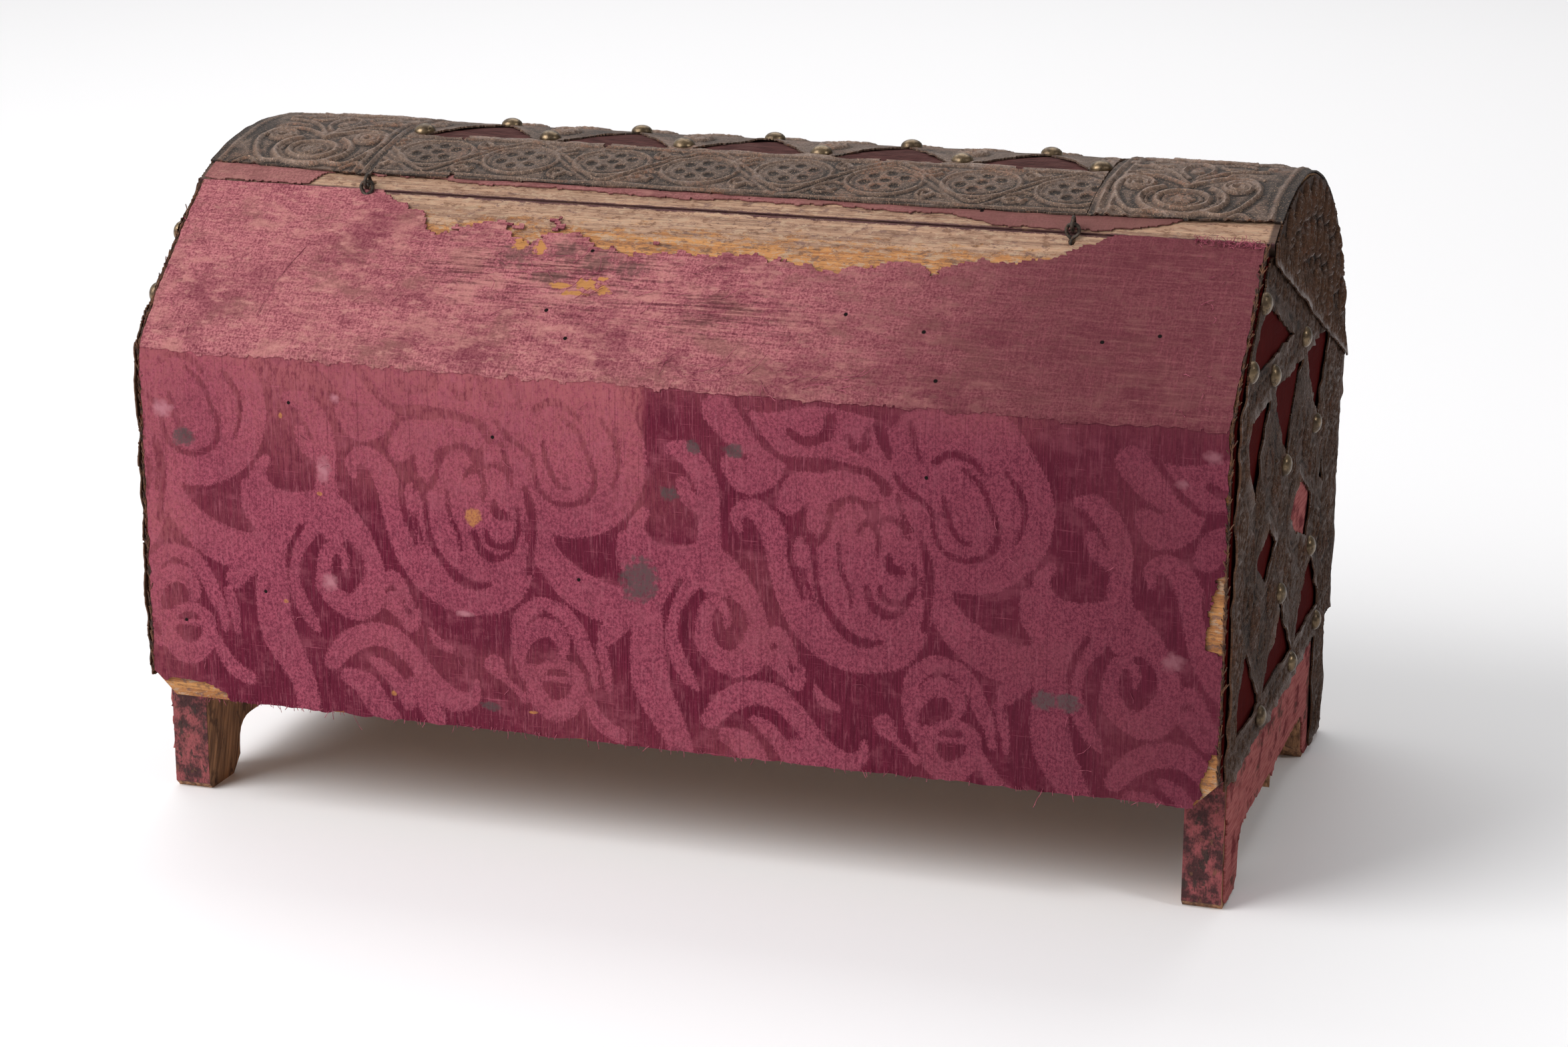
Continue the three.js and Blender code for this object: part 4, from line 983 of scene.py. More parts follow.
def emboss(a, b, lines, domes=()):
    # rounded ridges along lines, each with its half width and rise, and dented knobs or hollows
    height, groove = np.zeros(a.shape), np.zeros(a.shape)
    for path, halfWidth, rise in lines:
        reach = halfWidth * 2.4
        low, high = path.min(axis=0) - reach, path.max(axis=0) + reach
        near = (a > low[0]) & (a < high[0]) & (b > low[1]) & (b < high[1])
        if near.any():
            distance = np.hypot(a[near, None] - path[:, 0], b[near, None] - path[:, 1]).min(axis=1)
            share = np.clip(1 - distance / halfWidth, 0, 1)
            height[near] = np.maximum(height[near], rise * share * share * (3 - 2 * share))
            dip = np.clip(1 - np.abs(distance / halfWidth - 1.5) / 0.9, 0, 1)
            groove[near] = np.maximum(groove[near], 0.38 * rise * dip)
    for (middleA, middleB), radius, rise in domes:
        distance = np.hypot(a - middleA, b - middleB) / radius
        near = distance < 1.7
        if rise > 0:
            knob = rise * np.sqrt(np.clip(1 - distance[near] ** 2, 0, 1))
            dent = 0.8 * rise * np.clip(1 - (distance[near] / 0.6) ** 2, 0, 1)
            height[near] = np.maximum(height[near] * (distance[near] > 1), knob - dent)
        else:
            rim = 0.3 * np.clip(1 - np.abs(distance[near] - 1.0) / 0.3, 0, 1)
            bowl = rise * np.clip(1 - (distance[near] / 0.9) ** 4, 0, 1)
            height[near] = np.where(distance[near] < 1, rim + bowl, np.maximum(height[near], rim))
        ring = np.clip(1 - np.abs(distance[near] - 1.3) / 0.4, 0, 1)
        groove[near] = np.maximum(groove[near], 0.25 * max(rise, 0) * ring)
    return height - np.minimum(groove, 0.36) * np.clip(1 - height / 0.3, 0, 1)


def addFloor():
    deselectAll()
    bpy.ops.mesh.primitive_plane_add(size=floorLook["size"], location=(0, 0, 0))
    floor = bpy.context.object
    floor.name = "floor"
    made, tree, shader = newMaterial("floor")
    seen = put(tree, "LightPath").outputs["Is Camera Ray"]
    surface(tree, shader, mixed(tree, seen, floorLook["colour"], floorLook["seen"]), floorLook["roughness"])
    floor.data.materials.append(made)


addCamera()
addLamps()
addFloor()
print("camera, lamps and floor ready")


# Damask on the back: one repeat of its scrolls, as strokes of (across, height, half width)

damask = {
    "period": (146.0, -7.0),
    "repeats": (-1, 0, 1, 2),
    "cell": 1.1,
    # places where the cloth is torn off
    "chips": [
        [(-196, 38), (-168, 38), (-171, 45), (-180, 48.5), (-194, 49), (-199, 45)],
        [(194.0, 98), (203, 97), (203, 125), (198, 124), (195.5, 112)],
        [(194, 50), (199, 62), (203, 66), (203, 46), (196, 46)],
    ],
    "figure": [
        [(-116, 133, 1.5), (-117, 138, 2.5), (-112, 141, 3.5), (-106, 137, 4.5), (-102, 128, 5),
         (-99, 117, 5.5), (-95, 107, 6), (-88, 98, 6.5), (-79, 92.5, 6.5), (-69, 91, 6), (-59, 94, 6),
         (-53, 101, 5), (-49, 110, 4)],
        [(-78, 122, 14), (-72, 108, 14), (-62, 110, 11), (-66, 125, 13), (-80, 135, 6), (-75, 141, 5)],
        [(-93, 129, 3.4), (-93, 124, 3)],
        [(-98, 144, 4.5), (-94, 149, 6), (-88, 150, 6), (-80, 152, 5), (-70, 151, 5)],
        [(-88, 147, 4), (-88, 136, 3.4)],
        [(-119, 156, 4), (-114, 152, 6), (-108, 154, 6.5), (-104, 158, 5)],
        [(-124, 175, 6), (-113, 168, 8), (-102, 168, 8), (-88, 170, 9), (-72, 168, 9), (-62, 164, 9)],
        [(-34, 147, 30), (-36, 150, 30), (-38, 158, 28)],
        [(-60, 140, 5), (-56, 150, 6), (-54, 164, 9)],
        [(-45, 122, 4), (-43, 112, 5), (-38, 105, 6), (-31, 99, 7), (-22, 95, 7.5), (-12, 94, 7),
         (-3, 99, 6)],
        [(-13, 119, 2.4), (-12, 111, 3.4), (-6, 105, 5)],
        [(-142, 160, 2), (-136, 159, 4), (-130, 152, 4.5), (-127, 144, 4), (-127, 134, 4), (-127, 124, 5),
         (-124, 114, 7)],
        [(-137, 148, 2.4), (-135, 143, 3), (-130, 140, 3.4)],
        [(-151, 136, 2.2), (-154, 131, 3), (-153, 124, 5), (-147, 119.5, 6), (-138, 119, 6), (-129, 121, 6)],
        [(-165, 90, 4), (-158, 98, 4.5), (-150, 108, 4), (-141, 115, 3)],
        [(-124, 118, 7), (-116, 112, 5), (-110.5, 104, 3.5), (-109, 95, 4.5), (-112, 87, 6),
         (-118, 83.5, 5), (-125, 86, 4), (-129, 91, 4)],
        [(-129, 92, 3.6), (-129, 99, 3), (-127, 104.5, 2.6), (-123, 105, 2), (-120.5, 101, 1.8),
         (-121, 97, 1)],
        [(-133, 112, 3), (-139, 103, 2.2), (-141, 93, 2.2), (-139, 84, 3), (-135, 77, 2.6), (-132, 73, 1)],
        [(-143, 113, 4), (-148, 103, 4), (-150, 92, 6), (-150, 80, 7), (-148, 70, 7), (-143, 61, 6),
         (-139, 53, 5), (-137, 44, 5)],
        [(-107, 93, 2), (-102, 96, 3), (-98, 92, 2.2), (-95, 86, 1.6)],
        [(-102, 87, 4), (-99, 82, 2), (-95, 79, 3), (-93, 84, 1.6)],
        [(-127, 62, 3.5), (-121, 69, 4.5), (-112, 73.5, 4.5), (-103, 73, 4.5), (-96, 68, 4), (-90, 61, 4),
         (-84, 54.5, 4.5), (-77, 51.5, 4), (-71, 54, 2.6), (-70, 60, 1)],
        [(-88, 78, 1), (-85, 73.5, 2), (-80, 71, 1.4)],
        [(-111, 64, 1.5), (-106, 61, 3), (-101, 56, 3), (-97, 49, 3)],
        [(-121, 57, 3), (-114, 54, 5), (-109, 47, 5), (-104, 42, 4)],
        [(-95, 56, 3), (-90, 50, 4), (-86, 44, 4)],
        [(-46, 91, 3), (-52, 86, 3), (-54, 78, 2.6), (-53, 70, 2.6), (-51, 64, 2)],
        [(-44, 92, 2.4), (-36, 89, 3), (-31, 83, 3), (-28, 76, 3), (-25, 69, 2), (-24, 63, 1.4)],
        [(-63, 67, 4), (-59, 62, 1.5), (-54, 58, 1.4), (-51, 55, 1.8)],
        [(-52, 72, 1.5), (-50, 78, 2.5), (-45, 82.5, 3.5), (-39, 82, 3.5), (-36, 76, 2.5), (-38, 72, 1)],
        [(-48, 66, 2.5), (-47, 58, 3.5), (-42, 52.5, 4), (-36, 53, 4), (-31.5, 58, 3), (-31, 65, 3),
         (-35, 69.5, 2), (-42, 69, 1.8), (-46, 66, 2)],
        [(-44, 64, 1.3), (-34, 64, 1.3)],
        [(-29, 60, 2), (-26, 55, 2.5), (-22, 49, 3), (-15, 45, 3)],
        [(-22, 78, 2), (-20, 70, 2), (-19, 62, 1.2)],
    ],
    "veins": [
        [(-97, 134, 1), (-97.5, 125, 1.2), (-95, 117, 1.2), (-92.5, 110, 0.8)],
        [(-90, 133, 1.4), (-88.5, 125, 1), (-88, 118, 1), (-86, 110, 1.2), (-81, 103, 1.4), (-76, 98, 1.8),
         (-70, 96, 1.6), (-64, 97, 0.8)],
        [(-92, 131, 1.2), (-87, 131, 1.2), (-84, 136, 1), (-82, 142, 1), (-78, 146.5, 1), (-72, 147, 1.1),
         (-68, 144, 1), (-65, 140.5, 1), (-61, 141.5, 1), (-57, 139, 1), (-55, 135, 0.8)],
        [(-73, 136, 0.8), (-71, 138.5, 1), (-67, 138, 1), (-65.5, 133, 0.9), (-66, 128, 0.6)],
        [(-80, 131, 0.6), (-79, 122, 0.8), (-76, 115, 0.8), (-75, 109, 0.6)],
        [(-70, 116, 1), (-67.5, 110, 1.6), (-63, 107, 1.6), (-58, 108, 1), (-54, 112, 0.7)],
        [(-65, 117, 0.8), (-64, 113, 1.2), (-60, 111.5, 1.2), (-55, 113, 1.2), (-52.5, 119, 1),
         (-53, 126, 0.8)],
        [(-62, 128, 1), (-61, 124, 2), (-57, 123, 1.5)],
        [(-60, 157, 1), (-56, 152, 1.2), (-51, 149, 1), (-47, 145, 0.8), (-46, 138, 0.9), (-43, 132, 1),
         (-36, 129, 1), (-28, 131, 1.2), (-24, 136, 1.2), (-23.5, 143, 0.8)],
        [(-59, 150, 0.8), (-57, 143, 0.8), (-54, 138, 0.8)],
        [(-50, 134, 0.9), (-48, 127, 1.8), (-47, 118, 1.5), (-48, 110, 1.2), (-49, 103, 1.4)],
        [(-118, 179, 1.2), (-112, 171, 1.2), (-107, 164.5, 1.3), (-101, 160, 1.1), (-94, 157.8, 1),
         (-88, 157, 1.3), (-80, 158.3, 1), (-72, 158, 1), (-66, 155, 1.6), (-63, 151, 2)],
        [(-98, 169, 1.4), (-93, 166.5, 1.6), (-88, 167, 1.6), (-84, 170, 2.2), (-83, 175, 2)],
        [(-77, 169, 1.4), (-74, 165, 1.3), (-71, 167, 1.6), (-70, 172, 1)],
        [(-66, 174, 2), (-64, 168, 2), (-62, 163, 1)],
        [(-55, 176, 1), (-53, 168, 1), (-51, 163, 0.8)],
        [(-21, 161, 0.8), (-15.5, 153, 1.1), (-14.5, 145, 0.9), (-17, 137, 0.7)],
        [(-43, 151, 0.8), (-41, 143, 1.1), (-37, 136, 1), (-33, 135, 0.8)],
        [(-36, 161, 0.8), (-30, 156, 1), (-26.5, 149, 1), (-24, 142, 0.8)],
        [(-46, 163, 1.2), (-40, 166, 1.3), (-33, 164, 1.2), (-29, 160, 0.8)],
    ],
}


def damaskFigure(u, height):
    stepU, stepHeight = damask["period"]
    field = np.full(u.shape, -30.0)
    for index in damask["repeats"]:
        a, b = u - stepU * index, height - stepHeight * index
        figure = np.minimum(strokeField(a, b, damask["figure"]), -strokeField(a, b, damask["veins"]))
        field = np.maximum(field, figure)
    return field


def damaskWear(u, height):
    # paler left of the strip that once lay covered, and along the top
    left = np.clip((-4 - u) / 3, 0, 1) * np.clip((height - 118) / 50, 0, 1) * 0.75
    left = left * np.clip((u + 205) / 60, 0.4, 1)
    top = np.clip((height - 162) / 14, 0, 1) * 0.3
    patch = np.clip(noiseField(u, height, 34, 22, 5), 0, 1) * 0.3
    rim = np.clip(1 - (190 + u) / 14, 0, 1) * 0.3
    return np.clip(left + top + patch + rim, 0, 0.9)


def backOutline(u, height):
    half, foot, cut, top = clothHalf, casket["backFoot"], casket["cornerCut"], casket["seam"] + 6
    corners = [(-half, foot + cut), (cut - half, foot), (half - cut, foot), (half, foot + cut),
               (half, top), (-half, top)]
    field = insideOf(u, height, corners) + ragged(u, height, 5.0, 3) * 0.8
    cuts = np.maximum.reduce([insideOf(u, height, chip) for chip in damask["chips"]])
    return np.minimum(field, -cuts - ragged(u, height, 3.0, 8) * 0.8)


backDamask = makeSheet("back_damask_cloth", (-clothHalf, clothHalf),
                       (casket["backFoot"], casket["seam"] - 0.4), damask["cell"], onBack, clothLayer,
                       materials["damask"], outline=backOutline,
                       relief=lambda u, z: 0.12 * ragged(u, z, 9.0, 21) + 0.12,
                       values={"figure": damaskFigure, "worn": damaskWear})
enter(backDamask, "chest", ["back_damask"])
print("damask on the back made")


# Worn cloth on the coving, torn away below the crack

covingWear = {
    "edge": [(-202, 75.7), (-127, 75.7), (-122, 71), (-112, 67), (-107, 65), (-104, 59), (-100, 56.5),
             (-92, 59.5), (-84, 62), (-76, 63), (-70, 57), (-62, 54.5), (-56, 60), (-50, 59), (-44, 61),
             (-38, 57), (-33, 55), (-28, 54.5), (-20, 52.5), (-10, 55), (2, 54.5), (20, 56), (30, 54.5),
             (42, 53), (54, 50), (60, 53), (70, 56), (80, 57), (88, 53), (96, 58), (108, 59.5), (120, 61),
             (128, 63.5), (138, 69), (146, 74.5), (150, 75.7), (202, 75.7)],
    "top": 75.7,
    "lap": 2.4,
    "lapLift": 0.28,
    "cell": 1.1,
}


def covingOutline(u, rise):
    known = np.array(covingWear["edge"])
    edge = np.interp(u, known[:, 0], known[:, 1])
    fray = np.clip((75.0 - edge) / 4, 0.1, 1)
    inside = edge - rise + ragged(u, rise, 4.0, 31) * 2.6 * fray
    islands = ragged(u, rise * 2.0, 7.0, 36) * 9 - np.abs(rise - 58.5) * 0.35 - np.abs(u + 56) * 0.07 - 1.0
    kept = np.maximum(inside, islands)
    rim = clothHalf - np.abs(u) + ragged(u, rise, 5.0, 33) * 0.8
    kept = np.minimum(kept, rise + covingWear["lap"] * 0.55 + 1.5 * ragged(u, rise * 0.3, 5.0, 38))
    return np.minimum(np.minimum(kept, rim), covingWear["top"] + 0.3 * ragged(u, rise, 6.0, 35) - rise)


def covingRelief(u, rise):
    lower = np.clip(1 - np.abs(rise) / 6, 0, 1)
    return 0.1 + (1 - lower) * 0.15 * ragged(u, rise, 12.0, 41) + 0.1 * lower * ragged(u, rise, 9.0, 43)


def onSeam(u, rise, lift):
    # the coving, and below its seam the back board
    lap = onBack(u, casket["seam"] + rise, lift + covingWear["lapLift"])
    return np.where((rise < 0)[:, None], lap, onCoving(u, rise, lift))


covingCloth = makeSheet("coving_cloth_sheet", (-clothHalf, clothHalf),
                        (-covingWear["lap"], covingWear["top"]), covingWear["cell"], onSeam, clothLayer,
                        materials["wornCloth"], outline=covingOutline, relief=covingRelief)
enter(covingCloth, "chest", ["coving_cloth"])
print("cloth on the coving made")


# Frayed threads, as pieces of their own

dice = np.random.default_rng(11)
threadRadius = 0.11
fringe = {
    "count": 150,
    "span": (-188, 190),
    "above": 0.6,  # over the cloth's lower edge
    "lengths": ([1.6, 2.2, 3.0, 4.5, 9.0], [0.35, 0.3, 0.2, 0.12, 0.03]),
    "turn": 0.4,
    "lift": 0.5,
    "wander": 0.16,
}
# count, on both sides, how and where u is drawn, range of height, heading and length, lift and wander
backStrays = [(26, False, dice.uniform, (-190, 190), (50, 168), (0, 6.28), (3, 8), 0.5, 0.3)]
covingStrays = [
    (46, False, dice.normal, (-55, 45), (22, 52), (-0.6, 0.6), (4, 12), 0.9, 0.3),
    (34, False, dice.uniform, (-20, 90), (1, 9), (-0.9, 0.9), (4, 14), 1.2, 0.22),
    (30, True, dice.uniform, (180, 199), (2, 74), (0, 6.28), (2, 5), 0.8, 0.4),
    (90, False, dice.uniform, (176, 199.5), (72.5, 75.4), (-0.5, 3.6), (1.5, 4), 1.1, 0.5),
]


def strayPath(place, start, heading, length, lift, wander):
    # a thread that lies on or stands off the cloth, in the cloth's flat coordinates
    count = max(4, int(length / 1.2))
    at, points = np.array(start, float), []
    for index in range(count):
        share = index / (count - 1)
        points.append(place(at[0], at[1], clothTop + 0.25 + lift * math.sin(math.pi * share * 0.5)))
        heading += dice.normal(0, wander)
        at += np.array([math.cos(heading), math.sin(heading)]) * length / count
    return np.array(points)


def strew(place, rows):
    paths = []
    for count, bothSides, draw, spanU, spanV, headings, lengths, lift, wander in rows:
        for _ in range(count):
            side = dice.choice([-1, 1]) if bothSides else 1
            start = (side * draw(*spanU), dice.uniform(*spanV))
            heading, length = dice.uniform(*headings), dice.uniform(*lengths)
            paths.append(strayPath(place, start, heading, length, lift, wander))
    return paths


frayed = []
for _ in range(fringe["count"]):
    u = dice.uniform(*fringe["span"])
    start = (u, casket["backFoot"] + fringe["above"] + dice.uniform(0, 0.8))
    length = dice.choice(fringe["lengths"][0], p=fringe["lengths"][1])
    heading = -quarter + dice.normal(0, fringe["turn"])
    frayed.append(strayPath(onBack, start, heading, length, fringe["lift"], fringe["wander"]))
frayed += strew(onBack, backStrays)
enter(wireOf("back_threads", frayed, threadRadius, 0, materials["thread"]), "chest")
strays = [strayPath(onCoving, (-148, 46), -quarter - 0.3, 34, 0.4, 0.03)] + strew(onCoving, covingStrays)
strays = [path for path in strays if abs(path[:, 0]).max() < halfLength * mm]
enter(wireOf("coving_threads", strays, threadRadius, 0, materials["thread"]), "chest")
print("threads made")


# Cloth on the lid: pink remains along the crack, velvet under the pierced sheet

lidEdgeCloth = {
    "edge": [(-202, 0.8), (-158, 0.9), (-154, 9.6), (-105, 9.6), (-98, 7.4), (-60, 7.8), (-40, 7),
             (-10, 5.5), (8, 7.6), (30, 6.2), (45, 8), (60, 6), (88, 6.8), (104, 1.2), (140, 1.4), (152, 4),
             (160, 6.5), (168, 10), (174, 13.4), (202, 13.6)],
    "along": (0.4, 13.2),
    "cell": 0.8,
    "layer": (clothTop - 0.6, clothTop - 0.1),
}


def lidEdgeOutline(u, along):
    known = np.array(lidEdgeCloth["edge"])
    low = np.interp(u, known[:, 0], known[:, 1])
    inside = along - low + ragged(u, along, 3.0, 51) * 1.2
    return np.minimum(inside, halfLength - np.abs(u))


lidEdge = makeSheet("lid_edge_cloth", (-halfLength, halfLength), lidEdgeCloth["along"],
                    lidEdgeCloth["cell"], onLid,
                    lidEdgeCloth["layer"], materials["dustyCloth"], outline=lidEdgeOutline)
enter(lidEdge, "lid")

lidVelvet = makeSheet("lid_velvet_cloth", (-200.0, 200.0), (14.0, lidEdgeFront), 2.0, onLid, clothLayer,
                      materials["velvet"], relief=lambda u, along: 0.04 * ragged(u, along, 8.0, 61))
enter(lidVelvet, "lid", ["lid_velvet"])
print("cloth on the lid made")


# Embossed sheet: ridges are (path, half width, rise) and domes (place, radius, rise)

def crumple(a, b, seed, amount=0.25):
    return amount * ragged(a, b, 13.0, seed) + amount * 0.4 * ragged(a, b, 4.0, seed + 2)


def addRings(lines, middle, *rings):
    # whole ellipses round a place: their two half sizes, half width and rise
    for radiusA, radiusB, halfWidth, rise in rings:
        lines.append((arc(middle, radiusA, radiusB, 0, 360), halfWidth, rise))


def curveFrom(middle, hand, points):
    # a curve through places given from a middle, mirrored where hand is -1
    return curve([(middle[0] + hand * x, middle[1] + y) for x, y in points])


lidSheets = {
    "half": 135.3,
    "bandInner": 135.6,
    "bandOuter": 203.2,
    "edgeBare": 9.0,
    "borderEnd": 44.0,
    "frontBorder": lidEdgeFront - 35.0,
    "frontEdge": 211.4,
    "windowMiddles": [-106.8, -53.4, 0.0, 53.4, 106.8],
    "windowPeriod": 53.4,
    "windowHalf": 24.6,
    "windowRise": 31.0,
    "latticePeriod": 26.7,
    "latticeSpread": 14,  # rows of rings beside the middle line
    "scrollInset": 20,
}
podShape = {
    "period": 35.0,
    "first": -117.0,
    "count": (-1, 9),
    "stems": [(1.5, 1.0, 0.7), (-1.5, 0.9, 0.45)],  # off the wave, half width and rise
    "grapes": [(0.4, 0.4), (1.2, 6.0), (7.0, 2.8), (4.6, -3.8), (-2.0, -5.4), (-7.0, -2.2), (-4.8, 3.6)],
    "grapeRadius": 2.6,
    "grapeRise": -0.5,
}
medallion = {
    "middle": 168.7,
    "start": 15.0,
    "period": 62.0,
    "count": 4,
    "outer": 201.5,
    # half sizes, start and end in degrees, half width and rise
    "rings": [(15.0, 11.6, -235, 55, 1.6, 1.2), (12.6, 9.6, -210, 30, 0.8, 0.5),
              (9.4, 7.0, 0, 360, 1.5, 1.1), (6.6, 4.8, 0, 360, 0.8, 0.5)],
    # scrolls on both sides: places from the ring's middle, half width and rise
    "leaves": [
        ([(9, -10), (17, -10), (22.5, -2), (25.5, 9), (22, 19), (12, 20), (3, 14), (0, 11)], 1.3, 1.0),
        ([(1, 14), (7, 24), (15, 31), (24, 33)], 1.2, 0.9),
        ([(1.5, 20), (5, 27), (4.5, 36), (0, 41)], 1.2, 0.9),
        ([(12, 25), (19, 26), (25, 22)], 1.0, 0.7),
        ([(17, -14), (22, -9), (27, -13)], 1.1, 0.8),
    ],
}


def podBorder(low, high):
    # running scroll that turns round pods with grapes in them
    lines, domes = [], []
    middle = (low + high) / 2
    swell = (high - low) / 2 - 4.0
    period, first = podShape["period"], podShape["first"]
    u = np.arange(-145, 146, 0.5)
    phase = math.pi * (u - first) / period
    wave = middle - swell * np.cos(phase) - 0.8 * np.cos(3 * phase)
    slope = np.gradient(wave, u)
    size = np.sqrt(1 + slope**2)
    for offset, halfWidth, rise in podShape["stems"]:
        lines.append((np.stack([u - slope / size * offset, wave + offset / size], axis=1), halfWidth, rise))
    for edge in (low + 2.2, high - 2.0):
        lines.append((np.array([[x, edge + 0.5 * math.sin(x / 9)] for x in u]), 0.9, 0.6))
    for index in range(*podShape["count"]):
        centre = first + period * index
        side = 1 if index % 2 == 0 else -1
        place = (centre, middle + side * 1.2)
        lines.append((arc(place, 14.2, 10.8, -20, 330, 8), 1.1, 0.75))
        lines.append((arc(place, 12.2, 9.2, 20, 200, 8), 0.7, 0.35))
        for x, y in podShape["grapes"]:
            domes.append(((place[0] + x, place[1] + y), podShape["grapeRadius"], podShape["grapeRise"]))
        corner = (centre + period / 2, middle + side * 9.5)
        lines.append((spiral(corner, 3.8, 1.2, 90 * side, 1.3 * side), 0.9, 0.8))
        lines.append((arc((corner[0] - 2, corner[1] - side * 18), 5.2, 3.0, 0, 300, 30), 0.9, 0.7))
        for hand in (-1, 1):
            leaf = (centre + hand * 11.5, middle - side * 10.5)
            lines.append((curveFrom(leaf, hand, [(0, 0), (3.5, side * 1.6), (6.5, -side * 1.2)]), 1.1, 0.7))
    return lines, domes


def lidRearRelief(u, along):
    lines, domes = podBorder(lidSheets["edgeBare"], lidSheets["borderEnd"])
    lip = np.clip((along - lidSheets["borderEnd"] + 2.5) / 2.5, 0, 1)
    lip = lip * (0.5 + 0.4 * ragged(u, along, 11.0, 75))
    return emboss(u, along, lines, domes) + crumple(u, along, 71) + lip


def lidRearOutline(u, along):
    low = lidSheets["edgeBare"] + 0.5 + ragged(u, along, 16.0, 72) * 0.7
    high = lidSheets["borderEnd"] + 0.6 + ragged(u, along * 0.2, 13.0, 73) * 1.8
    field = np.minimum(np.minimum(along - low, high - along), lidSheets["half"] - np.abs(u))
    for tearU, tearAlong in ((-104, 9), (-55, 44.5), (-112, 44.5), (103, 44.5), (52, 45)):
        field = np.minimum(field, np.hypot((u - tearU) * 1.6, (along - tearAlong) * 0.7) - 2.2)
    return field


def medallionBand(first, last):
    # scrolls of an end band, mirrored about its middle line
    lines, domes = [], []
    inner = lidSheets["bandInner"] + 2
    for edge, rise in ((inner + 0.8, 0.9), (inner + 4.4, 0.8), (medallion["outer"] - 2.5, 0.5)):
        along = np.arange(first, last, 0.5)
        lines.append((np.stack([edge + 0.4 * np.sin(along / 7), along], axis=1), 1.3, rise))
    for index in range(medallion["count"]):
        base = first + medallion["start"] + medallion["period"] * index
        ring = (medallion["middle"] - 2.5, base)
        for radiusA, radiusB, start, end, halfWidth, rise in medallion["rings"]:
            lines.append((arc(ring, radiusA, radiusB, start, end), halfWidth, rise))
        for turn in range(0, 360, 60):
            at = math.radians(turn)
            domes.append(((ring[0] + 3.0 * math.cos(at), ring[1] + 2.3 * math.sin(at)), 1.5, 0.8))
        domes.append((ring, 1.6, 1.0))
        for hand in (-1, 1):
            eyelet = (ring[0] + hand * 18.0, base + 12)
            lines.append((spiral(eyelet, 6.4, 1.4, 90 - hand * 90, hand * 2.2), 1.3, 1.0))
            lines.extend((curveFrom(ring, hand, leaf), width, rise)
                         for leaf, width, rise in medallion["leaves"])
            lines.append((arc((ring[0] + hand * 13, base + 39), 6.0, 5.0, 0, 300), 1.1, 0.8))
            domes.append(((ring[0] + hand * 25, base + 40), 2.2, 0.9))
        domes.append(((ring[0], base + 28), 2.4, 1.0))
    return lines, domes


def lidBandRelief(u, along):
    lines, domes = medallionBand(lidSheets["edgeBare"], domeLength)
    roll = np.clip((np.abs(u) - 199.5) / 2.5, 0, 1) * -0.5
    return emboss(np.abs(u), along, lines, domes) + crumple(u, along, 81, 0.35) + roll


def lidBandOutline(u, along):
    drift = np.where(u > 0, 0.5 + 0.04 * (u - 135), -1.0 + 0.06 * (-u - 136))
    low = lidSheets["edgeBare"] + drift + ragged(u, along, 14.0, 82) * 0.6
    high = lidEdgeFront + ragged(u, along, 9.0, 83) * 0.5 - 0.5
    return np.minimum(np.minimum(along - low, high - along), np.abs(u) - lidSheets["bandInner"])


def latticeOutline(u, along):
    half, rise = lidSheets["windowHalf"], lidSheets["windowRise"]
    end = lidSheets["frontBorder"]
    field = np.minimum(lidSheets["half"] - np.abs(u), np.minimum(along - 44.6, end - 0.4 - along))
    for middle in lidSheets["windowMiddles"]:
        for base, tip in ((43.0, 43.0 + rise), (end + 1, end + 1 - rise)):
            window = insideOf(u, along, [(middle - half, base), (middle + half, base), (middle, tip)])
            field = np.minimum(field, -window)
    return field + ragged(u, along, 6.0, 92) * 0.5 - 0.2


def latticeLines():
    lines, domes = [], []
    start, end = lidSheets["borderEnd"], lidSheets["frontBorder"]
    middleLine = (start + end) / 2
    for index in range(-4, 5):
        u = lidSheets["latticePeriod"] * index
        for along in (middleLine - lidSheets["latticeSpread"], middleLine + lidSheets["latticeSpread"]):
            addRings(lines, (u, along), (7.4, 7.2, 1.2, 1.2), (4.0, 3.8, 1.0, 1.0))
            domes.append(((u, along), 2.4, 1.5))
        addRings(lines, (u + lidSheets["latticePeriod"] / 2, middleLine), (5.4, 7, 1.0, 0.9))
    for index in range(6):
        u = lidSheets["windowPeriod"] * (index - 2.5)
        for side, base in ((1, start + lidSheets["scrollInset"]), (-1, end - lidSheets["scrollInset"])):
            lines.append((spiral((u, base), 6.3, 1.2, -90 * side, 2.0 * side), 1.1, 1.1))
    for along in (start + 5, end - 4.0):
        edge = np.array([[x, along + 0.4 * math.sin(x / 8)] for x in np.arange(-135, 136, 0.5)])
        lines.append((edge, 0.8, 0.5))
    return lines, domes


def latticeBosses(u, along):
    # low round bosses under the rings and scrolls
    start, end = lidSheets["borderEnd"], lidSheets["frontBorder"]
    middleLine = (start + end) / 2
    ringStep, scrollStep = lidSheets["latticePeriod"], lidSheets["windowPeriod"]
    ringU = (u + ringStep / 2) % ringStep - ringStep / 2
    rings = 8.6 - np.hypot(ringU, np.abs(along - middleLine) - lidSheets["latticeSpread"])
    reach = (end - start) / 2 - lidSheets["scrollInset"]
    scrolls = 7.0 - np.hypot(u % scrollStep - scrollStep / 2, np.abs(along - middleLine) - reach)
    return 0.45 * np.clip(np.maximum(rings, scrolls) / 1.4, 0, 1) * (np.abs(u) < 118)


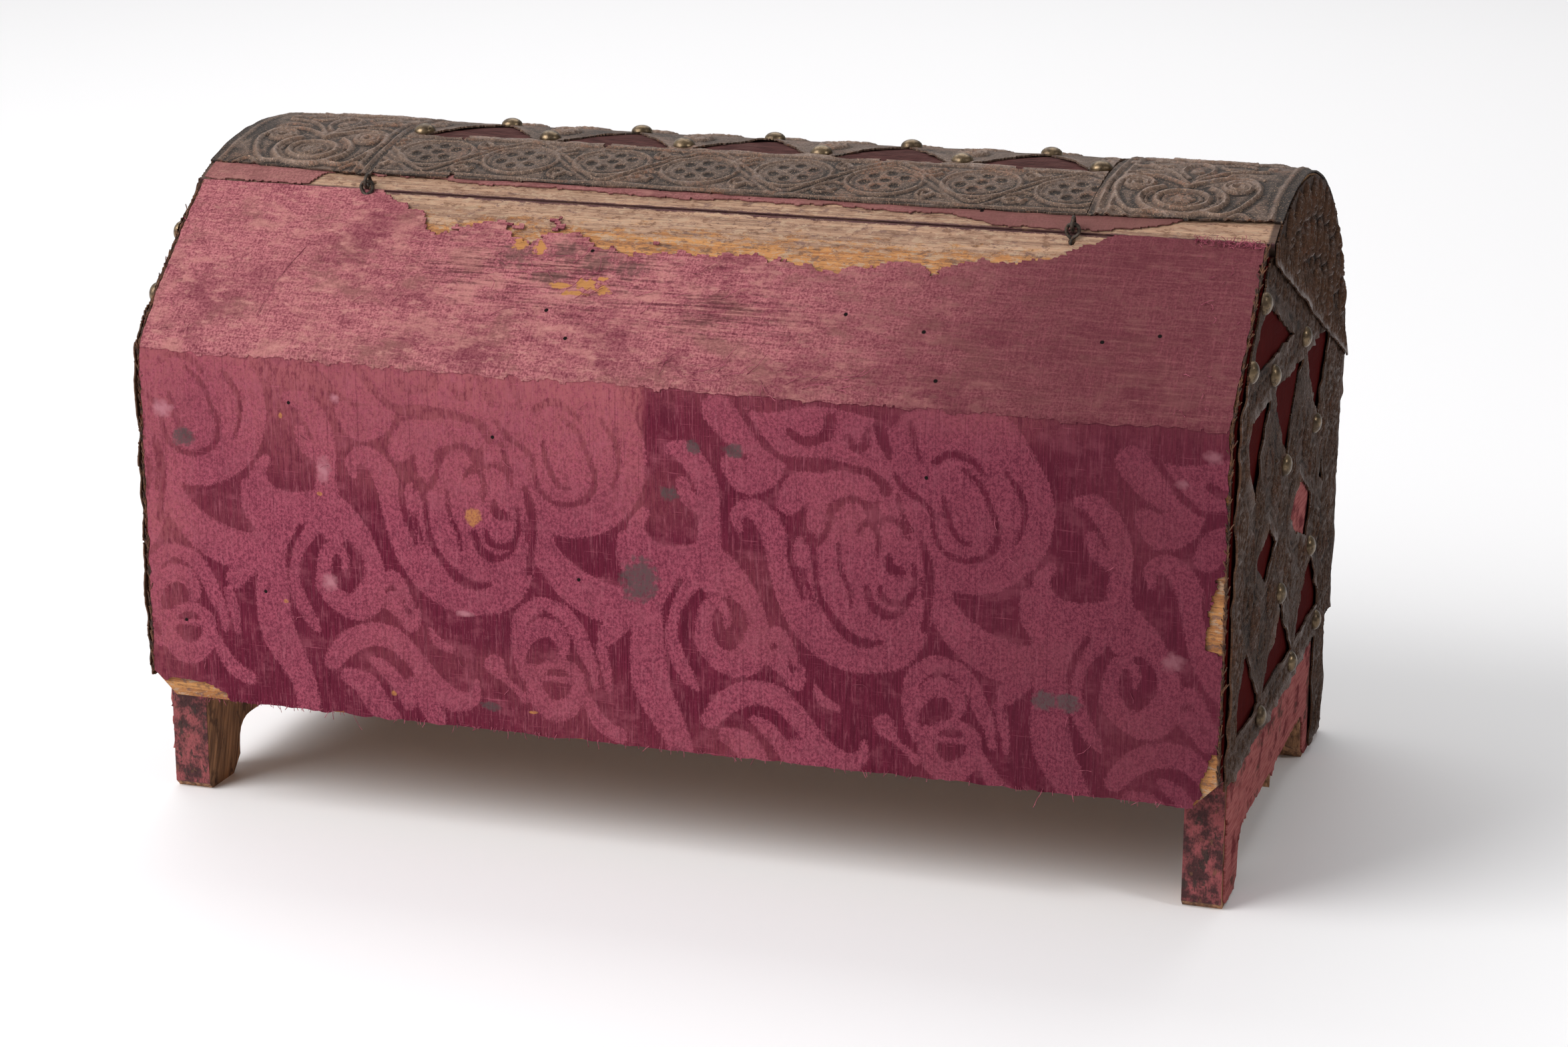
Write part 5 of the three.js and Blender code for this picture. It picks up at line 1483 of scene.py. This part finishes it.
def latticeRelief(u, along):
    edge = latticeOutline(u, along)
    curl = np.clip(1 - edge / 4, 0, 1) * np.clip(0.2 + ragged(u, along, 10.0, 95), 0, 1) * 0.8
    shape = emboss(u, along, *latticeLines()) * 0.8 + latticeBosses(u, along)
    return shape * np.clip(edge / 3, 0, 1) + crumple(u, along, 91, 0.3) + curl


def lidFrontRelief(u, along):
    return emboss(u, along, *podBorder(lidSheets["frontBorder"], lidEdgeFront)) + crumple(u, along, 101)


def lidFrontOutline(u, along):
    low = lidSheets["frontBorder"] + ragged(u, along, 10.0, 102) * 0.5 + 0.3
    high = lidEdgeFront + ragged(u, along, 9.0, 103) * 0.4 - 0.4
    return np.minimum(np.minimum(along - low, high - along), lidSheets["half"] - np.abs(u))


middleSpan = (-lidSheets["half"], lidSheets["half"])
leftSpan = (lidSheets["bandInner"], lidSheets["bandOuter"])
rightSpan = (-lidSheets["bandOuter"], -lidSheets["bandInner"])
frontEdge = lidSheets["frontEdge"]
embossedPieces = [
    # place in the name, across, along, cell, outline, relief and node
    ("rear_border_sheet", middleSpan, (8.6, 46.6), 0.62, lidRearOutline, lidRearRelief, "lid_rear_border"),
    ("lattice_sheet", middleSpan, (44.2, 176.6), 0.85, latticeOutline, latticeRelief, "lid_lattice"),
    ("front_border_sheet", middleSpan, (176.0, frontEdge), 0.85, lidFrontOutline, lidFrontRelief,
     "lid_front_border"),
    ("band_sheet_left", leftSpan, (8.2, frontEdge), 0.75, lidBandOutline, lidBandRelief, "lid_band_left"),
    ("band_sheet_right", rightSpan, (8.2, frontEdge), 0.75, lidBandOutline, lidBandRelief,
     "lid_band_right"),
]
for name, spanA, spanB, cell, outline, relief, node in embossedPieces:
    piece = makeSheet("lid_" + name, spanA, spanB, cell, onLid, sheetLayer, materials["lidSheet"],
                      outline=outline, relief=relief)
    enter(piece, "lid", [node])
    print(piece.name, "made with", len(piece.data.polygons), "faces")


# Ends of the chest: cloth over the whole board, pierced sheet over most of it

endPattern = {
    "period": 66.0,
    "rearLimit": -95.2,
    "frontLimit": 72.2,
    "bandTop": 61.5,
    "lowerTip": 88.0,
    "upperTip": 142.0,
    "upperBase": 172.0,
    "windowHalf": 28.0,
    "middles": [-83.0, -17.0, 49.0],
    "holes": [(-50.0, 115.0), (16.0, 115.0), (82.0, 115.0)],
    "holeHalf": (17, 11),
    "topWindow": [(-12.5, 186), (-93.9, 186), (-79.5, 201.1), (-66, 206.9)],
    "tear": [(14, 106), (38, 98), (46, 112), (36, 118), (22, 124), (8, 116)],
    "sheetFoot": 48.0,
    "stripEdge": 72.1,  # rear edge of the strip down the front foot
    "ripple": 3.6,
}
endFoot = {"rear": 26.0, "front": 42.0, "arch": 20.0, "cusp": 13, "toe": 6, "heel": 2.5, "spring": 10.0}


def footCorners(inset):
    # lower outline of an end board as (ahead, height), from the rear foot to the front one
    def bent(start, control, end):
        start, control, end = np.array(start), np.array(control), np.array(end)
        return [tuple((1 - s) ** 2 * start + 2 * s * (1 - s) * control + s * s * end)
                for s in np.linspace(0, 1, 6)[1:]]

    toe, heel, spring = endFoot["toe"], endFoot["heel"], endFoot["spring"]
    outer = innerDepth - inset
    rear = endFoot["rear"] - innerDepth - inset
    front = innerDepth - endFoot["front"] + inset
    middle = (rear + front) / 2
    arch = endFoot["arch"] + inset
    points = [(-outer, heel + inset), (heel - outer, inset), (rear - toe, inset),
              (rear, toe + inset), (rear, spring)]
    points += bent(points[-1], (rear, arch), (rear + spring, arch)) + [(middle - spring, arch)]
    points += bent(points[-1], (middle, arch), (middle, endFoot["cusp"] + inset))
    points += bent(points[-1], (middle, arch), (middle + spring, arch)) + [(front - spring, arch)]
    points += bent(points[-1], (front, arch), (front, spring))
    points += [(front, toe + inset), (front + toe, inset), (outer - heel, inset), (outer, heel + inset)]
    return [(float(a), float(b)) for a, b in points]


def upperCorners():
    # upper outline of an end as (ahead, height), from its front edge over to its rear edge
    edge = halfDepth - casket["hem"]
    points = [(edge, splitHeight(-edge) - 1.4),
              (-casket["hinge"] + 3, splitHeight(casket["hinge"] - 3) - 1.4)]
    reach = covingRadius - casket["hem"]
    for share in np.linspace(0.02, 1, 6):
        angle = covingHigh + (covingLow - covingHigh) * share
        points.append((-(covingCentre[0] + math.cos(angle) * reach),
                       covingCentre[1] + math.sin(angle) * reach))
    return points


def endClothOutline(ahead, height):
    edge, foot = halfDepth - casket["hem"], casket["backFoot"] + casket["cornerCut"]
    corners = footCorners(casket["hem"]) + [(innerDepth - casket["hem"], foot), (edge, foot)]
    corners += upperCorners()
    corners += [(-edge, foot), (casket["hem"] - innerDepth, foot)]
    field = insideOf(ahead, height, corners)
    return field + np.where(height < 52, ragged(ahead, height, 5.0, 111) * 0.9 - 0.5, 0)


def triangle(middle, half, base, tip):
    return [(middle - half, base), (middle, tip), (middle + half, base)]


def endSheetOutline(ahead, height):
    look = endPattern
    edge, foot = halfDepth - casket["hem"], look["sheetFoot"]
    inner, strip = innerDepth - casket["hem"], look["stripEdge"]
    corners = [(-edge, foot), (strip, foot), (strip, 3), (inner, 3), (inner, foot), (edge, foot)]
    corners += upperCorners()
    field = insideOf(ahead, height, corners)
    windows = [triangle(middle, look["windowHalf"], look[base], look[tip]) for middle in look["middles"]
               for base, tip in (("bandTop", "lowerTip"), ("upperBase", "upperTip"))]
    halfA, halfB = look["holeHalf"]
    windows += [[(middle - halfA, level), (middle, level - halfB), (middle + halfA, level),
                 (middle, level + halfB)]
                for middle, level in look["holes"]]
    limit = np.minimum(ahead - look["rearLimit"], look["frontLimit"] - ahead)
    for window in windows:
        field = np.minimum(field, -np.minimum(insideOf(ahead, height, window), limit))
    for opening in (look["topWindow"], look["tear"]):
        field = np.minimum(field, -insideOf(ahead, height, opening))
    return field + ragged(ahead, height, 5.0, 121) * 0.7 - 0.2


def endReliefLines():
    lines, domes = [], []
    for index in range(-2, 3):
        middle, level = -50.0 + endPattern["period"] * index, 115.0
        for offset, rise in ((-1, -1), (-1, 1), (1, -1), (1, 1)):
            place = (middle + offset * 15.5, level + rise * 21)
            lines.append((spiral(place, 8.6, 1.6, 90 * rise, -offset * rise * 2.0), 1.2, 0.8))
            addRings(lines, (middle + offset * 33, level + rise * 9),
                     (7.5, 6.5, 1.1, 0.7), (4.2, 3.6, 1.0, 0.55))
        addRings(lines, (middle, level), (21, 15, 1.1, 0.5))
        for rise in (-32, 32):
            addRings(lines, (middle, level + rise), (8, 6, 1.0, 0.6))
    for level in range(12, 210, 18):
        for ahead in (-105.0, 84.0, 101.0):
            addRings(lines, (ahead, level), (6.6, 7.2, 1.2, 0.7), (3.6, 4.0, 1.0, 0.6))
            lines.append((arc((ahead, level + 9), 7.5, 3, 200, 340), 1.0, 0.5))
    for ahead in range(-100, 115, 14):
        for level in (54.5, 178.5):
            addRings(lines, (ahead, level), (5.6, 3.6, 0.9, 0.5))
            domes.append(((ahead + 7, level), 1.6, 0.5))
    for ahead in range(-60, 110, 15):
        lines.append((spiral((ahead, splitHeight(-ahead) - 10), 6.0, 1.2, 30, 1.8), 1.0, 0.6))
    for level in (50.2, 59.5):
        lines.append((np.array([[x, level] for x in np.arange(-114, 114, 0.5)]), 0.8, 0.4))
    return lines, domes


def endSheetRelief(ahead, height):
    edge = endSheetOutline(ahead, height)
    loose = np.clip(0.3 + ragged(ahead, height, 16.0, 133), 0, 1)
    curl = np.clip(1 - edge / 5, 0, 1) ** 1.5 * loose * 1.6
    inward = edge + 1.4 * ragged(ahead, height, 12.0, 135)
    ripples = 0.22 * np.cos(inward * 2 * math.pi / endPattern["ripple"])
    shape = np.maximum(emboss(ahead, height, *endReliefLines()), ripples) * np.clip(edge / 3, 0, 1)
    return shape + crumple(ahead, height, 131, 0.35) + curl


lidEnd = {"lip": 7.0, "gap": 0.3}


def lidEndOutline(ahead, height):
    # height is measured over the floor, and the outline follows the dome
    points = []
    for along in np.linspace(1.2, domeLength, 26):
        place = onLid(0.0, np.float64(along), -lidEnd["gap"]) / mm
        points.append((float(-(place[1] - shiftY)), float(place[2])))
    points.append((halfDepth, splitHeight(-halfDepth) - lidEnd["lip"]))
    points.append((-casket["hinge"] - 3.0, hingeHeight - lidEnd["lip"] + 0.6))
    return insideOf(ahead, height, points) + ragged(ahead, height, 5.0, 141) * 0.5 - 0.3


def lidEndLines():
    # upright scrolls in rows under the curve
    lines = []
    for column, ahead in enumerate(range(-48, 112, 16)):
        level, row = casket["crown"] - 0.0042 * ahead * ahead - 9, 0
        while level > splitHeight(-ahead) + 4:
            hand = 1 if (column + row) % 2 else -1
            lines.append((spiral((ahead, level), 6.8, 1.4, 90, hand * 2.0), 1.3, 1.3))
            lines.append((curveFrom((ahead, level), 1, [(-7, -8), (-2, -11), (4, -8), (8, -12)]), 1.0, 0.7))
            level -= 15
            row += 1
    for ahead in range(-56, 112, 5):
        lines.append((curveFrom((ahead, splitHeight(-ahead) - 4), 1, [(0, 0), (1.5, 5), (-1, 10)]), 1.0, 0.6))
    return lines


def lidEndRelief(ahead, height):
    pleats = 0.12 * noiseField(ahead, height, 3.2, 16.0, 145)
    lip = np.clip(1 - (height - splitHeight(-ahead) + lidEnd["lip"]) / 9, 0, 1)
    curl = lip * (1.0 + 0.9 * ragged(ahead, height, 14.0, 147))
    edge = np.clip(lidEndOutline(ahead, height) / 2, 0, 1)
    shape = emboss(ahead, height, lidEndLines()) * edge + pleats * edge
    return shape + crumple(ahead, height, 143, 0.3) + curl


endSheets = {
    # span across, span in height and cell
    "cloth": ((-114.4, 114.4), (0.8, 222.0), 1.8),
    "sheet": ((-114.6, 114.6), (2.6, 222.0), 0.85),
    "cap": ((-63.0, 115.6), (150.6, 240.2), 0.8),
}
arrisFibres = {"count": 420, "reach": 200.8, "lift": 0.7, "radius": 0.2, "onBack": 0.62}


def fibrePaths(side):
    # wood fibres and threads that stand off the arris between the back and an end
    look, paths = arrisFibres, []
    for _ in range(look["count"]):
        if dice.uniform() < look["onBack"]:
            point = onBack(-side * look["reach"], dice.uniform(50, casket["seam"]), look["lift"])
            heading = np.array([dice.normal(0, 0.25), dice.normal(0, 0.15), 1.0])
        else:
            point = onCoving(-side * look["reach"], dice.uniform(0, 74), look["lift"])
            heading = np.array([dice.normal(0, 0.25), -0.74, 0.67])
        steps = np.arange(4)[:, None] * dice.uniform(0.5, 1.1)
        bend = dice.normal(0, 0.16, (4, 3)).cumsum(axis=0) * [0.6, 0.6, 1.0]
        paths.append(point + (steps * heading + bend) * mm)
    return paths


for side, label in sides:
    onSide = onEnd(side, halfLength)
    cloth = makeSheet(f"end_cloth_{label}", *endSheets["cloth"], onSide, clothLayer,
                      materials["endCloth"], outline=endClothOutline,
                      relief=lambda a, b: 0.05 * ragged(a, b, 9.0, 151), flip=side > 0)
    fibres = wireOf(f"arris_fibres_{label}", fibrePaths(side), arrisFibres["radius"], 0, materials["fibre"])
    enter(fibres, "chest")
    enter(cloth, "chest", [f"end_velvet_{label}"])
    sheet = makeSheet(f"end_sheet_{label}", *endSheets["sheet"], onSide, sheetLayer,
                      materials["shadedSideSheet"], outline=endSheetOutline, relief=endSheetRelief, flip=side > 0)
    enter(sheet, "chest", [f"end_mount_{label}"])
    cap = makeSheet(f"lid_end_sheet_{label}", *endSheets["cap"],
                    onEnd(side, casket["lidHalfLength"] + lidEnd["gap"]), (0, sheetTop - sheetBack),
                    materials["shadedSideSheet"], outline=lidEndOutline, relief=lidEndRelief, flip=side > 0)
    enter(cap, "lid", [f"lid_end_mount_{label}"])
    print(label, "end made")


# Front: velvet and pierced sheet, with an opening for the lock

front = {
    "foot": casket["backFoot"] + casket["cornerCut"],
    "top": 156.0,
    "recess": (-34.0, 18.0, 107.0, 149.0),
    "plate": (8, 31, 128, 26),  # middle and half width of the lock plate, and the same in height
    "middles": [-132.0, -66.0, 0.0, 66.0, 132.0],
    "half": 28.0,
    "lower": (62.0, 87.0),  # base and tip of a window
    "upper": (143.0, 118.0),
    "clothFoot": 8.2,
}


def recessField(x, height):
    x0, x1, z0, z1 = front["recess"]
    return insideOf(x, height, [(x0, z0), (x1, z0), (x1, z1), (x0, z1)])


def frontClothOutline(x, height):
    foot, top, cut = front["foot"] + 0.8, front["top"], casket["cornerCut"]
    corners = [(-clothHalf, foot), (cut - clothHalf, foot - cut), (clothHalf - cut, foot - cut),
               (clothHalf, foot),
               (clothHalf, top), (-clothHalf, top)]
    return np.minimum(insideOf(x, height, corners), -recessField(x, height))


def frontSheetOutline(x, height):
    field = np.minimum(clothHalf - np.abs(x), np.minimum(height - front["foot"], front["top"] - height))
    for middle in front["middles"]:
        for base, tip in (front["lower"], front["upper"]) if middle else (front["lower"],):
            field = np.minimum(field, -insideOf(x, height, triangle(middle, front["half"], base, tip)))
    return np.minimum(field + ragged(x, height, 5.0, 161) * 0.4 - 0.2, -recessField(x, height))


def frontLines():
    lines, domes = [], []
    for index in range(-3, 3):
        middle, level = 33.0 + 66.0 * index, 102.5
        for hand, rise in ((-1, -1), (1, -1), (-1, 1), (1, 1)):
            place = (middle + hand * 13, level + rise * 14)
            lines.append((spiral(place, 8.4, 1.5, 90 * rise, -hand * rise * 2.0), 1.2, 0.8))
        addRings(lines, (middle, level), (9, 8, 1.1, 0.7), (5, 4.4, 1.0, 0.6))
        addRings(lines, (middle + 33, level), (8, 7, 1.1, 0.7))
    for x in range(-190, 200, 14):
        for level in (56.5, 149.5):
            addRings(lines, (x, level), (5.4, 3.4, 0.9, 0.5))
            domes.append(((x + 7, level), 1.6, 0.5))
    return lines, domes


def frontRelief(x, height):
    edge = frontSheetOutline(x, height)
    plateX, halfX, plateZ, halfZ = front["plate"]
    plate = np.clip((np.maximum(np.abs(x + plateX) - halfX, np.abs(height - plateZ) - halfZ) - 1) / 3, 0, 1)
    shape = emboss(x, height, *frontLines()) * np.clip(edge / 3, 0, 1) + crumple(x, height, 163, 0.25)
    return shape * plate


frontCloth = makeSheet("front_cloth", (-clothHalf, clothHalf),
                       (front["foot"] - front["clothFoot"], front["top"]),
                       2.0, onFront, clothLayer, materials["velvet"], outline=frontClothOutline)
enter(frontCloth, "chest", ["front_velvet"])
frontSheet = makeSheet("front_sheet", (-clothHalf, clothHalf), (front["foot"], front["top"]), 1.0, onFront,
                       sheetLayer, materials["shadedSideSheet"], outline=frontSheetOutline, relief=frontRelief)
enter(frontSheet, "chest", ["front_mount"])
print("front made")


# Nails: domed brass heads on short shanks

nailShape = {"radius": 4.1, "rise": 2.6, "rim": 0.45, "shank": 1.0, "depth": 1.2, "cut": 0.05, "tilt": 0.09}
smallNailShape = (1.9, 1.1)
headLift = sheetTop + 0.3
plateLift, strapLift = 3.1, 3.6


def modelNail(radius, rise):
    # one nail that stands on the origin, in mm
    deselectAll()
    bpy.ops.mesh.primitive_uv_sphere_add(segments=18, ring_count=12, radius=1)
    piece = bpy.context.object
    cut = nailShape["cut"]
    halving = {"plane_co": (0, 0, cut), "plane_no": (0, 0, 1), "clear_inner": True, "use_fill": True}
    editFaces(piece, (bpy.ops.mesh.select_all, {"action": "SELECT"}), (bpy.ops.mesh.bisect, halving))
    points = pointsOf(piece)
    points[:, :2] *= radius
    points[:, 2] = (points[:, 2] - cut) / (1 - cut) * rise
    movePoints(piece, points)
    selectFaces(piece, [p.normal.z < -0.9 for p in piece.data.polygons])
    extrude = bpy.ops.mesh.extrude_region_move
    editFaces(
        piece,
        (extrude, {"TRANSFORM_OT_translate": {"value": (0, 0, -nailShape["rim"])}}),
        (bpy.ops.mesh.inset, {"thickness": radius - nailShape["shank"], "depth": 0}),
        (extrude, {"TRANSFORM_OT_translate": {"value": (0, 0, -nailShape["depth"])}}),
    )
    shadePiece(piece, materials["brass"])
    return piece


def nailRow(name, template, place, spots, lift, body, replaced=()):
    # copies of a nail, each on its place and a little tilted from the outward direction there
    deselectAll()
    for a, b in spots:
        here = place(np.float64(a), np.float64(b), lift)
        out = place(np.float64(a), np.float64(b), lift + 1.0) - here
        copy = template.copy()
        copy.data = template.data.copy()
        bpy.context.scene.collection.objects.link(copy)
        tilt = Vector(spin.uniform(-nailShape["tilt"], nailShape["tilt"], 3))
        direction = (Vector(out / np.linalg.norm(out)) + tilt).normalized()
        turn = direction.to_track_quat("Z", "Y").to_matrix().to_4x4()
        twist = Matrix.Rotation(float(spin.uniform(0, 6.28)), 4, "Z")
        copy.data.transform(Matrix.Translation(Vector(here)) @ turn @ twist @ Matrix.Scale(mm, 4))
        copy.select_set(True)
        if (a, b) == spots[0]:
            bpy.context.view_layer.objects.active = copy
    bpy.ops.object.join()
    joined = bpy.context.object
    joined.name = name
    joined.data.name = name
    enter(joined, body, replaced)


spin = np.random.default_rng(5)
bigNail = modelNail(nailShape["radius"], nailShape["rise"])
smallNail = modelNail(*smallNailShape)

betweenWindows = (-131.5, -80.1, -26.7, 26.7, 80.1, 131.5)
lidSpots = []
for along, tipAlong in ((50.0, 77.0), (170.3, 143.3)):
    lidSpots += [(u, along) for u in betweenWindows] + [(u, tipAlong) for u in lidSheets["windowMiddles"]]
endSpots = [(-17, 91), (49, 91), (-17, 139), (49, 139), (16, 54.75), (-50, 54.75), (72.2, 54.75), (16, 179),
            (-50, 179), (-74.7, 209.2), (-95.8, 190.0)]
frontSpots = [(x, 90.0) for x in front["middles"]] + [(x, 56.5) for x in (-165, -99, -33, 33, 99, 165)]
frontSpots += [(x, 115.0) for x in front["middles"] if x != 0.0] + [(x, 150.5) for x in (-165, -99, 99, 165)]
plateSpots = [(x, z) for x in (-36.5, 20.5) for z in (104.5, 151.5)]
strapSpots = [(0.0, domeLength - 8 - d) for d in (8, 38)]

nailRow("lid_nails", bigNail, onLid, lidSpots, headLift, "lid", [f"lid_nail_{i}" for i in range(1, 12)])
for side, label in sides:
    nailRow(f"end_nails_{label}", bigNail, onEnd(side, halfLength), endSpots, headLift, "chest")
nailRow("front_nails", bigNail, onFront, frontSpots, headLift, "chest")
nailRow("plate_nails", smallNail, onFront, plateSpots, plateLift, "chest",
        [f"plate_nail_{i}" for i in range(1, 5)])
nailRow("strap_nails", smallNail, onLid, strapSpots, strapLift, "lid", ["strap_nail_1", "strap_nail_2"])
bpy.data.objects.remove(bigNail)
bpy.data.objects.remove(smallNail)
print("nails made")


# Wire hinges: an eye of the chest and an eye of the lid, linked over the crack

hingeWire = {
    "x": 133.0,
    "lift": 3.9,
    "entry": 3.5,  # below the crack
    "radius": 0.72,
    "forged": 0.14,  # height of the hammer marks
    # sideways and up from the pivot
    "chestEye": [(0.5, -8.6), (0.3, -5.4), (-0.5, -4.6), (-1.9, -3.6), (-2.3, -2.1), (-1.7, -0.6),
                 (0.0, 0.0), (1.7, -0.6), (2.3, -2.1), (1.8, -3.6), (0.5, -4.9)],
    # to the rear, outward and sideways from the pivot
    "lidEye": [(-5.6, -7.4, 0.0), (-4.2, -5.2, 0.0), (-3.0, -3.0, 0.0), (-2.45, -1.4, 0.1),
               (-2.35, 0.1, 0.1), (-1.65, 1.7, 0.0), (0.0, 2.35, -0.2), (1.7, 1.65, -0.1), (2.35, 0.0, 0.0),
               (1.65, -1.7, 0.0), (0.0, -2.4, 0.3), (-1.6, -2.5, 0.9), (-2.8, -3.3, 1.3)],
}


def unit(direction):
    return direction / np.linalg.norm(direction)


def bendWire(name, path, body, node):
    # a forged wire along points of the frame
    wire = wireOf(name, [path], hingeWire["radius"], 3, materials["iron"])
    points = pointsOf(wire)
    marks = ragged(points[:, 0] / mm + points[:, 2] / mm, points[:, 1] / mm, 1.7, 171)
    movePoints(wire, points + marks[:, None] * hingeWire["forged"] * mm)
    applyModifier(wire, "SUBSURF", levels=1, render_levels=1)
    activate(wire)
    bpy.ops.object.shade_smooth()
    enter(wire, body, [node])


for side, label in sides:
    # the lid's eye turns about the pivot, and the top of the chest's eye is the pin in it
    pivot = onLid(-side * hingeWire["x"], np.float64(0.0), hingeWire["lift"])
    mouth = onCoving(-side * hingeWire["x"], covingLength - hingeWire["entry"], 0.0)
    up, sideways = unit(pivot - mouth), np.array([1.0, 0.0, 0.0])
    eye = curve(hingeWire["chestEye"])
    path = pivot + (eye[:, :1] * sideways + eye[:, 1:] * up) * mm
    bendWire(f"hinge_chest_eye_{label}", path, "chest", f"hinge_body_loop_{label}")
    outward = unit(onLid(0.0, np.float64(0.0), 1.0) - onLid(0.0, np.float64(0.0), 0.0))
    rearward = np.cross(outward, sideways)
    rearward = rearward * np.sign(rearward[1])
    eye = curve(hingeWire["lidEye"])
    path = pivot + (eye[:, 2:] * sideways + eye[:, :1] * rearward + eye[:, 1:2] * outward) * mm
    bendWire(f"hinge_lid_eye_{label}", path, "lid", f"hinge_lid_loop_{label}")
print("hinges made")


# CAD nodes that keep their shape get their finish

finishes = {
    "bareWood": ["back_coving", "back_board", "lid_stave_1"],
    "innerWood": ["lid_stave_2", "lid_stave_3", "lid_stave_4", "bottom_board", "front_board",
                  "lid_end_left", "lid_end_right"],
    "footWood": ["end_board_left", "end_board_right"],
    "iron": ["lock_plate", "lock_guide_1", "lock_guide_2", "lock_spring", "lock_bolt", "hasp_mount",
             "hasp_pin", "hasp"],
}
for finish, names in finishes.items():
    for name in names:
        paintPiece(nodes[name], materials[finish])

bpy.context.scene.view_settings.view_transform = "Standard"
deselectAll()
bpy.context.view_layer.update()
print("all pieces made")
